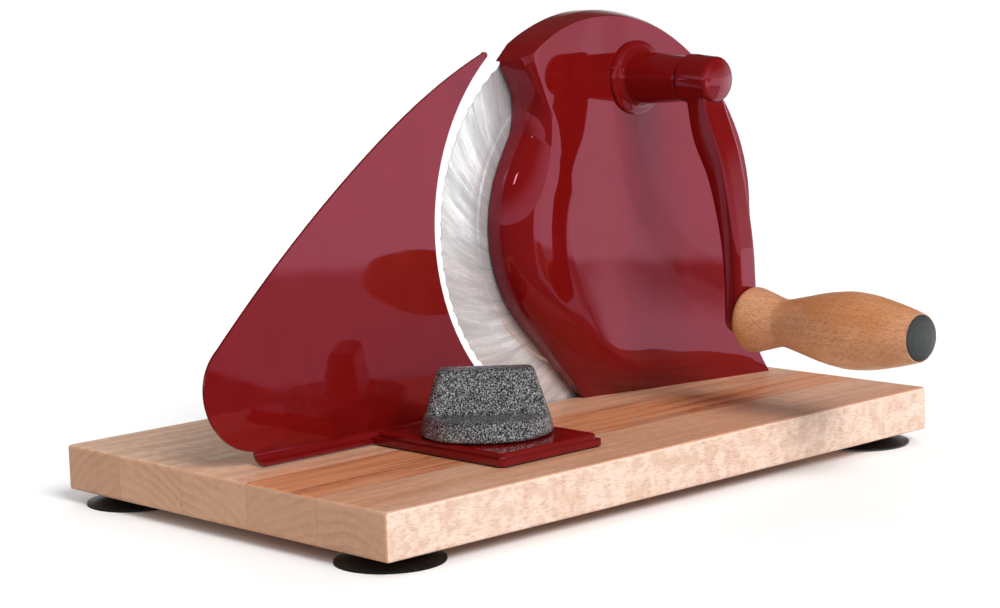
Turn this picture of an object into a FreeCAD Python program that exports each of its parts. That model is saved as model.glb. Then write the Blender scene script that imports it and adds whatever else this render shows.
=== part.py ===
import FreeCAD
import Part
import os
from math import acos, atan2, cos, degrees, hypot, pi, radians, sin, sqrt, tan

# Hand cranked bread slicer. Millimetres. X runs along the board, +Y is the loaf side, -Y the slice
# and crank side, +Z is up. The origin is the centre of the board's underside.

# ---------------------------------------------------------------- driving dimensions
# Beech board
board_length = 350.0
board_width = 225.0
board_thickness = 21.0
board_rounding = 1.6

# Suction cups under the board
cup_height = 6.2
cup_radius = 23.5
cup_lip = 0.9
cup_neck_radius = 11.0
cup_wall = 2.2
cup_inset_x = 21.5
cup_inset_y = 23.8
cup_screw_radius = 1.8
cup_screw_head_radius = 4.2
cup_screw_head_height = 2.0
cup_screw_length = 15.0

# Blade
blade_x = 63.8
blade_height = 86.8
blade_radius = 95.6
blade_thickness = 1.2
blade_face_y = 9.6
blade_edge_thickness = 0.25
bevel_width = 15.0
rim_waves = 84
wave_depth = 0.75
dish_radius = 72.0
dish_step = 0.5
blade_slot_gap = 1.5
blade_slot_rim_gap = 2.4

# Gear pair
gear_module = 1.5
pinion_teeth = 22
wheel_teeth = 72
pressure_angle = 20.0
backlash = 0.16
gear_width = 5.6
gear_face_gap = 0.4
crank_offset_x = 16.2

# Blade bearing
axle_radius = 6.0
axle_stem_radius = 4.0
axle_stem_length = 7.0
axle_flange_radius = 8.5
axle_flange_thickness = 1.6
bush_wall = 2.0
running_gap = 0.05
seat_gap = 0.02
blade_washer_radius = 11.0
blade_washer_thickness = 1.2
blade_screw_radius = 3.0
blade_screw_head_radius = 7.0
blade_screw_head_height = 2.2
blade_screw_length = 11.0
blade_screw_slot_width = 1.4
blade_screw_slot_depth = 1.1
gear_screw_circle = 13.5
gear_screw_count = 3
gear_screw_radius = 1.5
gear_screw_head_radius = 2.6

# Housing casting
rim_depth = 7.6
face_left_y = -8.5
face_left_x = 14.0
face_slope = 0.07
housing_wall = 3.5
housing_base_wall = 15.0
inner_edge_points = 14
housing_arc_margin = 6.4
blade_pocket_gap = 2.4
blade_front_gap = 1.0
gear_chamber_gap = 1.4
housing_screw_radius = 2.5
housing_screw_head_radius = 5.0
housing_screw_head_height = 3.5
housing_screw_grip = 11.0
housing_screw_x = (104.0, 130.0, 154.0)
axle_boss_radius = 11.0
free_edge_radius = blade_radius - 28.6
roll_width = 17.0
neck_angle = 150.0
round_steps = 3
# Neck under the beak: angle and extra radius on the rim, then on the face
beak_neck = [(125.6, 27.7, 122.5, 46.4), (127.2, 15.0, 125.5, 28.0), (131.0, 7.0, 128.5, 15.0),
             (138.0, 1.3, 137.0, 5.0)]
beak_rim = (124.9, blade_radius + 2.7)
beak_face = (121.6, blade_radius + 3.3)
# Crown: angle about the blade, then how far rim and flat front stay inside the arc
crown_insets = [(0.0, 0.0, 11.7), (20.0, 0.0, 11.0), (38.0, 0.0, 9.8), (56.0, 0.0, 7.4), (75.0, 0.0, 4.4),
                (92.0, 0.0, 2.7), (107.0, 0.8, 1.8), (119.0, 1.4, 2.6)]
crown_hollow = 0.35
back_foot_x = 53.0
front_foot_x = 156.0
sweep_shift_x = 24.0
sweep_shift_z = 7.0
foot_run_out = 6.0
back_corner_x = 171.0
front_corner_x = 169.0
back_waist_x = 163.0
front_waist_x = 157.0
side_flare_height = 24.0
roll_turns = (0.0, 30.0, 60.0, 90.0)

# Crank bearing
boss_root_radius = 18.0
boss_root_height = 4.5
boss_base_radius = 12.7
boss_tip_radius = 10.4
boss_tip_y = -46.2
shaft_radius = 6.0
shaft_bush_wall = 1.8
bush_recess = 0.6
shaft_washer_radius = 9.6
shaft_washer_thickness = 1.6
washer_gap = 0.1
ring_radius = 8.0
ring_thickness = 1.0
key_flat = 4.6

# Crank arm
hub_back_radius = 12.0
hub_front_radius = 10.8
hub_length = 17.6
hub_dome = 1.6
hub_socket_depth = 13.5
crank_drop = 112.4
arm_width = 14.0
hub_rim_rounding = 2.0
arm_back_reach = 23.0
arm_thickness = 10.8
set_screw_radius = 2.5
set_screw_length = 5.4
set_screw_setback = 6.2

# Handle
grip_length = 99.0
collar_radius = 15.4
waist_radius = 11.3
belly_radius = 17.8
grip_end_radius = 11.0
grip_rings = 17
head_room = 1.2
spindle_radius = 3.6
spindle_stem_radius = 3.0
spindle_head_radius = 6.4
spindle_head_height = 3.0
handle_washer_radius = 8.0
handle_washer_thickness = 0.8
grip_play = 0.3
cap_radius = 10.5
cap_dome = 3.4
cap_dome_angles = (0.0, 25.0, 50.0, 70.0, 90.0)
cap_skirt_depth = 4.0
cap_skirt_radius = 8.6
cap_wall = 1.4

# Stop plate
slice_thickness = 6.1
plate_thickness = 1.5
plate_gap = 9.8
plate_arc_lift = 3.4
bend_radius = 5.0
flange_reach = 7.4
flange_left_x = -151.0
flange_right_x = -4.0
foot_left_x = -88.6
foot_right_x = -26.4
foot_front_y = -88.6
foot_base_thickness = 2.6
foot_step = 2.1
foot_pad_thickness = 2.6
foot_corner_radius = 3.4
foot_edge_break = 0.7
glide_thickness = 0.8
glide_inset = 1.2
plate_travel_out = 12.0
plate_travel_in = 5.5

# Clamp knob
knob_x = -58.0
knob_y = -46.6
knob_radius = 30.0
knob_skirt_height = 9.5
knob_skirt_draft = 1.8
knob_height = 29.6
wing_length_base = 56.0
wing_length_top = 43.0
wing_width_base = 19.0
wing_width_top = 11.5
wing_corner_radius = 5.2
wing_rounding = 2.4
wing_angle = -43.4
stud_radius = 4.0
stud_depth = 13.0
stud_reach = 12.0
insert_wall = 2.5
insert_length = 14.0
board_insert_length = 14.0
knob_washer_radius = 12.5
knob_washer_thickness = 1.4
key_width = 12.0
key_length = 16.0
key_play = 0.15

# ---------------------------------------------------------------- derived places
V = FreeCAD.Vector
far = 2.0 * board_length
top_z = board_thickness
blade_z = top_z + blade_height
blade_front_y = blade_face_y - blade_thickness
gear_front_y = blade_front_y - gear_width
centre_distance = gear_module * (pinion_teeth + wheel_teeth) / 2.0
crank_x = blade_x + crank_offset_x
crank_z = blade_z + sqrt(centre_distance ** 2 - crank_offset_x ** 2)
rim_front_y = blade_face_y - rim_depth
housing_arc_radius = blade_radius + housing_arc_margin
plate_face_y = blade_face_y - slice_thickness
plate_back_y = plate_face_y - plate_thickness
foot_low_z = top_z + glide_thickness
foot_mid_z = foot_low_z + foot_base_thickness
foot_top_z = foot_mid_z + foot_pad_thickness
hub_back_y = boss_tip_y - shaft_washer_thickness - 2.0 * washer_gap
hub_front_y = hub_back_y - hub_length
handle_z = crank_z - crank_drop
arm_front_y = hub_back_y - arm_back_reach - arm_thickness
grip_back_y = arm_front_y - handle_washer_thickness - grip_play
grip_front_y = grip_back_y - grip_length


def face_y(x):
    """Depth of the housing's flat front face at a place along X."""
    return face_left_y - face_slope * (x - face_left_x)


# ---------------------------------------------------------------- small helpers
def line(a, b):
    return Part.LineSegment(a, b).toShape()


def spline(points):
    curve = Part.BSplineCurve()
    curve.interpolate(points)
    return curve.toShape()


def rod(radius, length, base, along):
    return Part.makeCylinder(radius, length, base, along)


def rod_y(radius, x, z, y_from, y_to):
    """Round bar along Y between two depths."""
    low = min(y_from, y_to)
    return rod(radius, abs(y_to - y_from), V(x, low, z), V(0, 1, 0))


def rod_z(radius, x, y, z_from, z_to):
    return rod(radius, z_to - z_from, V(x, y, z_from), V(0, 0, 1))


def tube_y(outer, inner, x, z, y_from, y_to):
    return rod_y(outer, x, z, y_from, y_to).cut(rod_y(inner, x, z, y_from - 1, y_to + 1))


def turned_y(profile, x, z):
    """Revolve (radius, y) corners about an axis along Y."""
    points = [V(x + r, y, z) for r, y in profile]
    wire = Part.makePolygon(points + points[:1])
    return Part.Face(wire).revolve(V(x, 0, z), V(0, 1, 0), 360)


def turned_z(profile, x, y):
    points = [V(x + r, y, z) for r, z in profile]
    wire = Part.makePolygon(points + points[:1])
    return Part.Face(wire).revolve(V(x, y, 0), V(0, 0, 1), 360)


def rounded_box(x0, x1, y0, y1, z0, z1, radius):
    """Block with its four upright edges rounded."""
    block = Part.makeBox(x1 - x0, y1 - y0, z1 - z0, V(x0, y0, z0))
    upright = [e for e in block.Edges if abs(e.tangentAt(e.FirstParameter).z) > 0.9]
    return block.makeFillet(radius, upright)


def save(node, shapes):
    """Write one named node, made of one solid or of several separate ones."""
    solids = []
    for shape in shapes:
        solids.extend(shape.removeSplitter().Solids)
    result = solids[0] if len(solids) == 1 else Part.makeCompound(solids)
    result.exportStep("parts/%s.step" % node)
    print("%-18s %d solid(s) %10.1f mm3" % (node, len(solids), result.Volume))
    return result


# ---------------------------------------------------------------- board and cups
def cup_places():
    half_x = board_length / 2.0 - cup_inset_x
    half_y = board_width / 2.0 - cup_inset_y
    return [(sx * half_x, sy * half_y) for sx in (-1, 1) for sy in (-1, 1)]


def housing_screw_places():
    """Screws stand in the thick foot of the casting, midway between its front and the blade's pocket."""
    pocket_y = blade_front_y - blade_front_gap
    return [(x, (base_line_y(x) + pocket_y) / 2.0) for x in housing_screw_x]


def base_line_y(x):
    """Front edge of the casting where it stands on the board: it sweeps out towards the right."""
    share = min(max((x - back_foot_x) / (front_foot_x - back_foot_x), 0.0), 1.0)
    return rim_front_y + (1.0 - sqrt(1.0 - share ** 2)) * (face_y(front_foot_x) - rim_front_y)


def base_board():
    board = Part.makeBox(board_length, board_width, board_thickness,
                         V(-board_length / 2.0, -board_width / 2.0, 0))
    board = board.makeFillet(board_rounding, board.Edges)
    slot_back = blade_face_y + blade_slot_gap
    slot_front = blade_front_y - blade_slot_gap
    board = board.cut(rod_y(blade_radius + blade_slot_rim_gap, blade_x, blade_z, slot_front, slot_back))
    for x, y in cup_places():
        board = board.cut(rod_z(cup_screw_radius + seat_gap, x, y, -1.0, cup_screw_length))
    for x, y in housing_screw_places():
        board = board.cut(rod_z(housing_screw_radius + seat_gap, x, y, -1.0, top_z + 1.0))
        board = board.cut(rod_z(housing_screw_head_radius + 0.5, x, y, -1.0, housing_screw_head_height + 1.0))
    insert_low = top_z - board_insert_length
    return board.cut(rod_z(stud_radius + insert_wall + seat_gap, knob_x, knob_y, insert_low, top_z + 1.0))


def suction_cup(x, y):
    low = -cup_height
    profile = [(cup_screw_radius + seat_gap, 0), (cup_neck_radius, 0), (cup_neck_radius + 1.0, -cup_wall),
               (cup_radius, low + cup_lip), (cup_radius, low), (cup_radius - 1.5, low),
               (cup_screw_head_radius + 2.5, -cup_wall - 1.2), (cup_screw_radius + seat_gap, -cup_wall - 1.2)]
    return turned_z(profile, x, y)


def cup_screw(x, y):
    seat = -cup_wall - 1.2
    shank = rod_z(cup_screw_radius, x, y, seat, cup_screw_length - 0.5)
    head = Part.makeCone(cup_screw_head_radius - 1.2, cup_screw_head_radius, cup_screw_head_height,
                         V(x, y, seat - cup_screw_head_height))
    slot = Part.makeBox(2.0 * cup_screw_head_radius, 0.9, 0.9,
                        V(x - cup_screw_head_radius, y - 0.45, seat - cup_screw_head_height - 0.1))
    return shank.fuse(head).cut(slot)


def housing_screw(x, y):
    low = 1.0
    head_top = low + housing_screw_head_height
    shank = rod_z(housing_screw_radius, x, y, head_top, top_z + housing_screw_grip)
    head = rod_z(housing_screw_head_radius, x, y, low, head_top)
    recess = rod_z(2.2, x, y, low - 1.0, low + 2.0)
    return shank.fuse(head).cut(recess)


# ---------------------------------------------------------------- housing
def about_blade(angle, radius):
    """Point (x, z) at an angle in degrees and a radius about the blade's axis."""
    return blade_x + radius * cos(radians(angle)), blade_z + radius * sin(radians(angle))


def free_edge_stations():
    """Free edge beside the blade: (rim point, face point, hollow), from the beak to below the board.

    The rim point lies on the thin rim and the face point on the edge of the flat front. Hollow is 0
    where the side between them rolls out and 1 where it sweeps in towards the foot.
    """
    rim_round = free_edge_radius
    face_round = free_edge_radius - roll_width
    reach = hypot(back_foot_x - blade_x, blade_z - top_z)
    foot_angle = 180.0 + degrees(atan2(blade_z - top_z, blade_x - back_foot_x))
    leave_angle = foot_angle - degrees(acos(rim_round / reach))
    stations = [(about_blade(a, rim_round + r), about_blade(b, face_round + f), 0.0)
                for a, r, b, f in beak_neck]
    for step in range(round_steps + 1):
        angle = neck_angle + (leave_angle - neck_angle) * step / round_steps
        stations.append((about_blade(angle, rim_round), about_blade(angle, face_round), 0.0))
    leave = about_blade(leave_angle, rim_round)
    middle = ((leave[0] + back_foot_x) / 2.0, (leave[1] + top_z) / 2.0)
    stations.append((middle, (middle[0] + sweep_shift_x, middle[1] + sweep_shift_z), 0.5))
    run_out = foot_run_out / (leave[1] - top_z)
    below = (back_foot_x + (back_foot_x - leave[0]) * run_out, top_z - foot_run_out)
    stations.append((below, (front_foot_x, top_z - foot_run_out), 1.0))
    return stations


def crown_stations():
    """Crown from the right side over to the beak: the flat front narrows towards the side."""
    arc = housing_arc_radius
    return [(about_blade(angle, arc - rim), about_blade(angle, arc - face), crown_hollow)
            for angle, rim, face in crown_insets]


def side_stations():
    """Right side from below the board up to the crown."""
    low = top_z - foot_run_out
    middle = top_z + side_flare_height / 2.0
    waist = top_z + side_flare_height
    return [((back_corner_x, low), (front_corner_x, low), crown_hollow),
            ((back_waist_x + 1.0, middle), (front_waist_x + 1.5, middle), crown_hollow),
            ((back_waist_x, waist), (front_waist_x, waist), crown_hollow)]


def section(turn, level=None):
    """Outline of the casting where its side has turned by an angle from the rim (0) to the face (90).

    With a level, the outline lies flat at that depth.
    """
    out = 1.0 - cos(radians(turn))
    forward = sin(radians(turn))

    def place(station):
        rim, face, hollow = station
        across = out + (forward - out) * hollow
        depth = forward + (out - forward) * hollow
        x = rim[0] + (face[0] - rim[0]) * across
        z = rim[1] + (face[1] - rim[1]) * across
        y = rim_front_y + (face_y(x) - rim_front_y) * depth
        return V(x, y if level is None else level, z)

    free = [place(s) for s in free_edge_stations()]
    side = [place(s) for s in side_stations()]
    crown = [place(s) for s in crown_stations()]
    nose = place((about_blade(*beak_rim), about_blade(*beak_face), crown_hollow))
    return Part.Wire([spline(free), line(free[-1], side[0]), spline(side + crown[:1]), spline(crown),
                      spline([crown[-1], nose]), line(nose, free[0])])


def casting_body():
    """Outer form: a straight rim beside the blade, then sides that roll over to the flat front."""
    rim = Part.Face(section(0.0)).extrude(V(0, rim_depth, 0))
    front = Part.makeLoft([section(turn) for turn in roll_turns], True, True)
    below = Part.makeBox(2.0 * far, 2.0 * far, far, V(-far, -far, top_z - far))
    return rim.fuse(front).cut(below).removeSplitter()


def boss_inner_y():
    """Inner end of the crank bearing, just inside the housing's front wall."""
    return face_y(crank_x) + housing_wall + 1.5


def crank_boss():
    root_y = face_y(crank_x) - 0.2
    inner_y = boss_inner_y()
    ring = boss_root_radius
    profile = [(0, inner_y), (ring - 2.0, inner_y), (ring, inner_y - 2.0), (ring, root_y),
               (ring - 0.7, root_y - 1.3), (ring - 2.2, root_y - 1.9), (boss_base_radius + 1.6, root_y - 2.4),
               (boss_base_radius + 0.4, root_y - 3.4), (boss_base_radius, root_y - boss_root_height),
               (boss_tip_radius + 0.5, boss_tip_y + 0.5), (boss_tip_radius, boss_tip_y), (0, boss_tip_y)]
    return turned_y(profile, crank_x, crank_z)


def inner_outline(y):
    """The front outline moved in by the wall, as one plain spline for each of its long edges."""
    moved = Part.Face(section(90.0, y)).makeOffset2D(-housing_wall).Wires[0]
    runs = [edge.discretize(inner_edge_points) for edge in moved.OrderedEdges if edge.Length > housing_wall]
    for run, following in zip(runs, runs[1:] + runs[:1]):
        corner = (run[-1] + following[0]) * 0.5
        run[-1] = corner
        following[0] = corner
    return Part.Wire([spline(run) for run in runs])


def inner_space():
    """Hollow for the gears: a wall's thickness inside the front outline and behind the front face."""
    pocket = Part.Face(inner_outline(blade_face_y + 1.0)).extrude(V(0, -far, 0))
    corners = [V(-far, face_y(-far) + housing_wall, 0), V(far, face_y(far) + housing_wall, 0),
               V(far, far, 0), V(-far, far, 0)]
    behind_face = Part.Face(Part.makePolygon(corners + corners[:1])).extrude(V(0, 0, far))
    above_base = Part.makeBox(2.0 * far, 2.0 * far, far, V(-far, -far, top_z + housing_base_wall))
    return pocket.common(behind_face).common(above_base)


def gear_chamber():
    """Round room for the blade gear, which reaches into the thick side beside the blade."""
    room = gear_module * (wheel_teeth + 2) / 2.0 + gear_chamber_gap
    return rod_y(room, blade_x, blade_z, gear_front_y - gear_chamber_gap, blade_face_y + 1.0)


def gear_housing():
    body = casting_body()
    body = body.cut(inner_space()).cut(gear_chamber())
    flange_front = gear_front_y - gear_face_gap - axle_flange_thickness
    seat = rod_y(axle_boss_radius, blade_x, blade_z, face_y(blade_x) + housing_wall - 1.0, flange_front)
    body = body.fuse(seat).fuse(crank_boss())
    pocket = rod_y(blade_radius + blade_pocket_gap, blade_x, blade_z,
                   blade_front_y - blade_front_gap, blade_face_y + 1.0)
    body = body.cut(pocket)
    bush_outer = shaft_radius + shaft_bush_wall + seat_gap
    body = body.cut(rod_y(bush_outer, crank_x, crank_z, boss_tip_y - 1.0, gear_front_y))
    body = body.cut(rod_y(axle_stem_radius + seat_gap, blade_x, blade_z,
                          flange_front - axle_stem_length - 0.4, flange_front + 1.0))
    for x, y in housing_screw_places():
        body = body.cut(rod_z(housing_screw_radius + seat_gap, x, y, top_z - 1.0,
                              top_z + housing_screw_grip + 0.5))
    return body


# ---------------------------------------------------------------- gears
def involute(base, radius):
    """Polar angle of the involute of a base circle at a radius."""
    ratio = sqrt((radius / base) ** 2 - 1.0)
    return ratio - atan2(ratio, 1.0)


def gear_face(teeth, x, z, turn, y):
    """Involute spur outline; turn is the angle of one tooth's middle, in radians."""
    pitch = gear_module * teeth / 2.0
    base = pitch * cos(radians(pressure_angle))
    tip = pitch + gear_module
    root = pitch - 1.25 * gear_module
    low = max(base, root)
    half = (pi * gear_module / 2.0 - backlash) / (2.0 * pitch) + involute(base, pitch)
    at = lambda radius, angle: V(x + radius * cos(angle), y, z + radius * sin(angle))
    edges = []
    for tooth in range(teeth):
        mid = turn + tooth * 2.0 * pi / teeth
        reach = lambda radius: half - involute(base, radius)
        middle_radius = (low + tip) / 2.0
        rise = [at(low, mid - reach(low)), at(middle_radius, mid - reach(middle_radius)),
                at(tip, mid - reach(tip))]
        fall = [at(tip, mid + reach(tip)), at(middle_radius, mid + reach(middle_radius)),
                at(low, mid + reach(low))]
        next_in = at(root, mid + 2.0 * pi / teeth - reach(low))
        edges += [Part.Arc(*rise).toShape(), line(rise[2], fall[0]), Part.Arc(*fall).toShape()]
        if low > root:
            root_out = at(root, mid + reach(low))
            edges += [line(fall[2], root_out), line(root_out, next_in)]
            edges.append(line(next_in, at(low, mid + 2.0 * pi / teeth - reach(low))))
        else:
            edges.append(line(fall[2], next_in))
    return Part.Face(Part.Wire(edges))


def mesh_line():
    """Angle from the blade's axis to the crank's axis."""
    return atan2(crank_z - blade_z, crank_x - blade_x)


def blade_gear():
    turn = mesh_line()
    wheel = gear_face(wheel_teeth, blade_x, blade_z, turn, gear_front_y).extrude(V(0, gear_width, 0))
    web = gear_width - 2.4
    outer = gear_module * wheel_teeth / 2.0 - 5.0
    recess = tube_y(outer, gear_screw_circle + 6.0, blade_x, blade_z, gear_front_y - 0.01, gear_front_y + web)
    wheel = wheel.cut(recess)
    for spoke in range(6):
        angle = spoke * pi / 3.0 + turn
        cx = blade_x + 34.5 * cos(angle)
        cz = blade_z + 34.5 * sin(angle)
        wheel = wheel.cut(rod_y(8.0, cx, cz, gear_front_y - 1.0, blade_front_y + 1.0))
    bore = axle_radius + running_gap + bush_wall + seat_gap
    wheel = wheel.cut(rod_y(bore, blade_x, blade_z, gear_front_y - 1.0, blade_front_y + 1.0))
    for x, z in gear_screw_places():
        wheel = wheel.cut(rod_y(gear_screw_radius + seat_gap, x, z, gear_front_y + 1.0, blade_front_y + 1.0))
    return wheel


def drive_pinion():
    turn = mesh_line() + pi + pi / pinion_teeth
    pinion = gear_face(pinion_teeth, crank_x, crank_z, turn, gear_front_y)
    pinion = pinion.extrude(V(0, gear_width, 0))
    return pinion.cut(shaft_key(seat_gap, gear_front_y - 1.0, blade_front_y + 1.0))


def shaft_key(gap, y_from, y_to):
    """Round bar with two flats that drives the pinion."""
    bar = rod_y(shaft_radius - 0.6 + gap, crank_x, crank_z, y_from, y_to)
    flats = Part.makeBox(2.0 * (key_flat + gap), y_to - y_from, 40.0,
                         V(crank_x - key_flat - gap, y_from, crank_z - 20.0))
    return bar.common(flats)


# ---------------------------------------------------------------- blade group
def gear_screw_places():
    places = []
    for i in range(gear_screw_count):
        angle = 2.0 * pi * i / gear_screw_count + pi / 2.0
        places.append((blade_x + gear_screw_circle * cos(angle), blade_z + gear_screw_circle * sin(angle)))
    return places


def wavy_rim(y, thickness):
    """Disc whose rim is a ring of shallow hollows between points."""
    edges = []
    step = 2.0 * pi / rim_waves
    at = lambda radius, angle: V(blade_x + radius * cos(angle), y, blade_z + radius * sin(angle))
    for i in range(rim_waves):
        start = at(blade_radius, i * step)
        middle = at(blade_radius - wave_depth, (i + 0.5) * step)
        end = at(blade_radius, (i + 1) * step)
        edges.append(Part.Arc(start, middle, end).toShape())
    return Part.Face(Part.Wire(edges)).extrude(V(0, thickness, 0))


def blade_disc():
    back = blade_face_y
    front = blade_front_y
    bore = axle_radius + running_gap
    inner_bevel = blade_radius - bevel_width
    thin = back - blade_edge_thickness
    step = front + dish_step
    profile = [(bore, back), (blade_radius + 1.0, back), (blade_radius + 1.0, thin), (inner_bevel, step),
               (dish_radius + 1.2, step), (dish_radius, front), (bore, front)]
    disc = turned_y(profile, blade_x, blade_z)
    disc = disc.common(wavy_rim(front - 1.0, blade_thickness + 2.0))
    for x, z in gear_screw_places():
        disc = disc.cut(rod_y(gear_screw_radius + seat_gap, x, z, front - 1.0, back + 1.0))
        disc = disc.cut(screw_cone(x, z, seat_gap))
    return disc


def screw_cone(x, z, gap):
    depth = 0.9
    return Part.makeCone(gear_screw_radius + gap, gear_screw_head_radius + gap, depth,
                         V(x, blade_face_y - depth, z), V(0, 1, 0))


def gear_screw(x, z):
    shank = rod_y(gear_screw_radius, x, z, gear_front_y + 1.4, blade_face_y - 0.9)
    slot = Part.makeBox(2.0 * gear_screw_head_radius, 0.6, 0.7,
                        V(x - gear_screw_head_radius, blade_face_y - 0.4, z - 0.35))
    return shank.fuse(screw_cone(x, z, 0.0)).cut(slot)


def hub_bush():
    inner = axle_radius + running_gap
    return tube_y(inner + bush_wall, inner, blade_x, blade_z, gear_front_y, blade_front_y)


def blade_axle():
    flange_back = gear_front_y - gear_face_gap
    flange_front = flange_back - axle_flange_thickness
    stem = rod_y(axle_stem_radius, blade_x, blade_z, flange_front - axle_stem_length, flange_front)
    flange = rod_y(axle_flange_radius, blade_x, blade_z, flange_front, flange_back)
    journal = rod_y(axle_radius, blade_x, blade_z, flange_back, blade_face_y + washer_gap)
    bore = rod_y(blade_screw_radius + seat_gap, blade_x, blade_z,
                 blade_face_y + washer_gap - blade_screw_length, blade_face_y + 2.0)
    return stem.fuse([flange, journal]).cut(bore)


def blade_washer():
    front = blade_face_y + washer_gap
    return tube_y(blade_washer_radius, blade_screw_radius + seat_gap, blade_x, blade_z,
                  front, front + blade_washer_thickness)


def blade_screw():
    seat = blade_face_y + washer_gap + blade_washer_thickness
    top = seat + blade_screw_head_height
    profile = [(0, seat - blade_screw_length), (blade_screw_radius, seat - blade_screw_length),
               (blade_screw_radius, seat), (blade_screw_head_radius, seat),
               (blade_screw_head_radius, top - 0.9), (blade_screw_head_radius - 1.2, top), (0, top)]
    slot = Part.makeBox(2.0 * blade_screw_head_radius + 1.0, blade_screw_slot_depth + 0.1,
                        blade_screw_slot_width,
                        V(blade_x - blade_screw_head_radius - 0.5, top - blade_screw_slot_depth,
                          blade_z - blade_screw_slot_width / 2.0))
    return turned_y(profile, blade_x, blade_z).cut(slot)


# ---------------------------------------------------------------- crank group
def shaft_bush():
    inner = shaft_radius + running_gap
    return tube_y(inner - running_gap + shaft_bush_wall, inner, crank_x, crank_z,
                  boss_tip_y + bush_recess, boss_inner_y())


def crank_shaft():
    body = rod_y(shaft_radius, crank_x, crank_z, hub_back_y - hub_socket_depth + 0.5, gear_front_y)
    tail = shaft_key(0.0, gear_front_y, blade_front_y - washer_gap)
    flat = Part.makeBox(20, 2.0 * set_screw_radius + 1.5, 4.0,
                        V(crank_x - 10, hub_back_y - set_screw_setback - set_screw_radius - 0.75,
                          crank_z + shaft_radius - 0.8))
    collar = rod_y(shaft_radius + 2.0, crank_x, crank_z, gear_front_y - 2.0, gear_front_y)
    groove_y = boss_inner_y() + washer_gap
    groove = tube_y(shaft_radius + 1.0, shaft_radius - 0.8, crank_x, crank_z,
                    groove_y, groove_y + ring_thickness)
    return body.fuse([tail, collar]).cut(flat).cut(groove)


def retaining_ring():
    """Snap ring inboard of the bush: keeps the shaft from pulling out of the boss."""
    groove_y = boss_inner_y() + washer_gap
    ring = tube_y(ring_radius, shaft_radius - 0.8 + seat_gap, crank_x, crank_z, groove_y + seat_gap,
                  groove_y + ring_thickness - seat_gap)
    mouth = Part.makeBox(4.0, 4.0, 2.0 * ring_radius,
                         V(crank_x - 2.0, groove_y - 1.0, crank_z - 2.0 * ring_radius))
    return ring.cut(mouth)


def shaft_washer():
    outer_y = boss_tip_y - washer_gap
    return tube_y(shaft_washer_radius, shaft_radius + seat_gap, crank_x, crank_z,
                  outer_y - shaft_washer_thickness, outer_y)


def hub_form():
    """Hub with a broken back edge, a slight taper and a rounded, gently domed front."""
    rounding = hub_rim_rounding
    front = hub_front_radius
    rim = [(front - rounding * (1.0 - cos(radians(a))), hub_front_y + rounding * (1.0 - sin(radians(a))))
           for a in (0.0, 30.0, 60.0, 90.0)]
    profile = [(0, hub_back_y), (hub_back_radius - 0.8, hub_back_y), (hub_back_radius, hub_back_y - 0.8)]
    profile += rim + [(front * 0.5, hub_front_y - hub_dome), (0, hub_front_y - hub_dome - 0.3)]
    return turned_y(profile, crank_x, crank_z)


def arm_blade():
    """Bowed bar: its side profile is drawn in the YZ plane and extruded across X."""
    x = crank_x - arm_width / 2.0
    back_low_y = hub_back_y - arm_back_reach
    drop = crank_drop
    back = [(hub_back_y - 0.6, crank_z - 4.0), (hub_back_y - 5.6, crank_z - 0.25 * drop),
            (hub_back_y - 14.8, crank_z - 0.43 * drop), (back_low_y + 1.9, crank_z - 0.66 * drop),
            (back_low_y, crank_z - 0.84 * drop), (back_low_y, handle_z - arm_width / 2.0)]
    front = [(arm_front_y, handle_z - arm_width / 2.0), (arm_front_y, crank_z - 0.84 * drop),
             (arm_front_y + 1.6, crank_z - 0.64 * drop), (arm_front_y + 8.0, crank_z - 0.33 * drop),
             (hub_front_y + 1.6, crank_z - 0.08 * drop), (hub_front_y + 1.2, crank_z - 4.0)]
    at = lambda p: V(x, p[0], p[1])
    back_points = [at(p) for p in back]
    front_points = [at(p) for p in front]
    edges = [spline(back_points[:5]), line(back_points[4], back_points[5]),
             line(back_points[5], front_points[0]), line(front_points[0], front_points[1]),
             spline(front_points[1:]), line(front_points[5], back_points[0])]
    return Part.Face(Part.Wire(edges)).extrude(V(arm_width, 0, 0))


def crank_arm():
    bar = arm_blade()
    mask = rod_y(arm_width / 2.0, crank_x, handle_z, arm_front_y - 5.0, hub_back_y + 5.0)
    corner = V(crank_x - arm_width / 2.0, arm_front_y - 5.0, handle_z)
    column = Part.makeBox(arm_width, far, crank_drop, corner)
    bar = bar.common(mask.fuse(column)).removeSplitter()
    arm = bar.fuse(hub_form()).removeSplitter()
    arm = arm.cut(rod_y(shaft_radius + seat_gap, crank_x, crank_z, hub_back_y - hub_socket_depth,
                        hub_back_y + 1.0))
    arm = arm.cut(rod_z(set_screw_radius + seat_gap, crank_x, hub_back_y - set_screw_setback,
                        crank_z + shaft_radius - 1.0, crank_z + 2.0 * hub_back_radius))
    return arm.cut(rod_y(spindle_stem_radius + seat_gap, crank_x, handle_z, arm_front_y - 1.0,
                         arm_front_y + arm_thickness + 1.0))


def hub_set_screw():
    low = crank_z + shaft_radius - 0.8
    y = hub_back_y - set_screw_setback
    body = rod_z(set_screw_radius, crank_x, y, low, low + set_screw_length)
    socket = rod_z(1.2, crank_x, y, low + set_screw_length - 2.0, low + set_screw_length + 1.0)
    return body.cut(socket)


# ---------------------------------------------------------------- handle group
def grip_profile():
    """Turned beech grip: collar, waist, belly and a narrower end, as (radius, y)."""
    shape = [(collar_radius - 2.0, 0.0), (collar_radius, 0.036), (collar_radius - 1.4, 0.096),
             (waist_radius + 0.3, 0.187), (waist_radius, 0.237), (waist_radius + 2.4, 0.354),
             (belly_radius - 1.6, 0.47), (belly_radius, 0.626), (belly_radius - 1.6, 0.783),
             (belly_radius - 4.4, 0.914), (grip_end_radius, 1.0)]
    return [(radius, grip_back_y - share * grip_length) for radius, share in shape]


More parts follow.
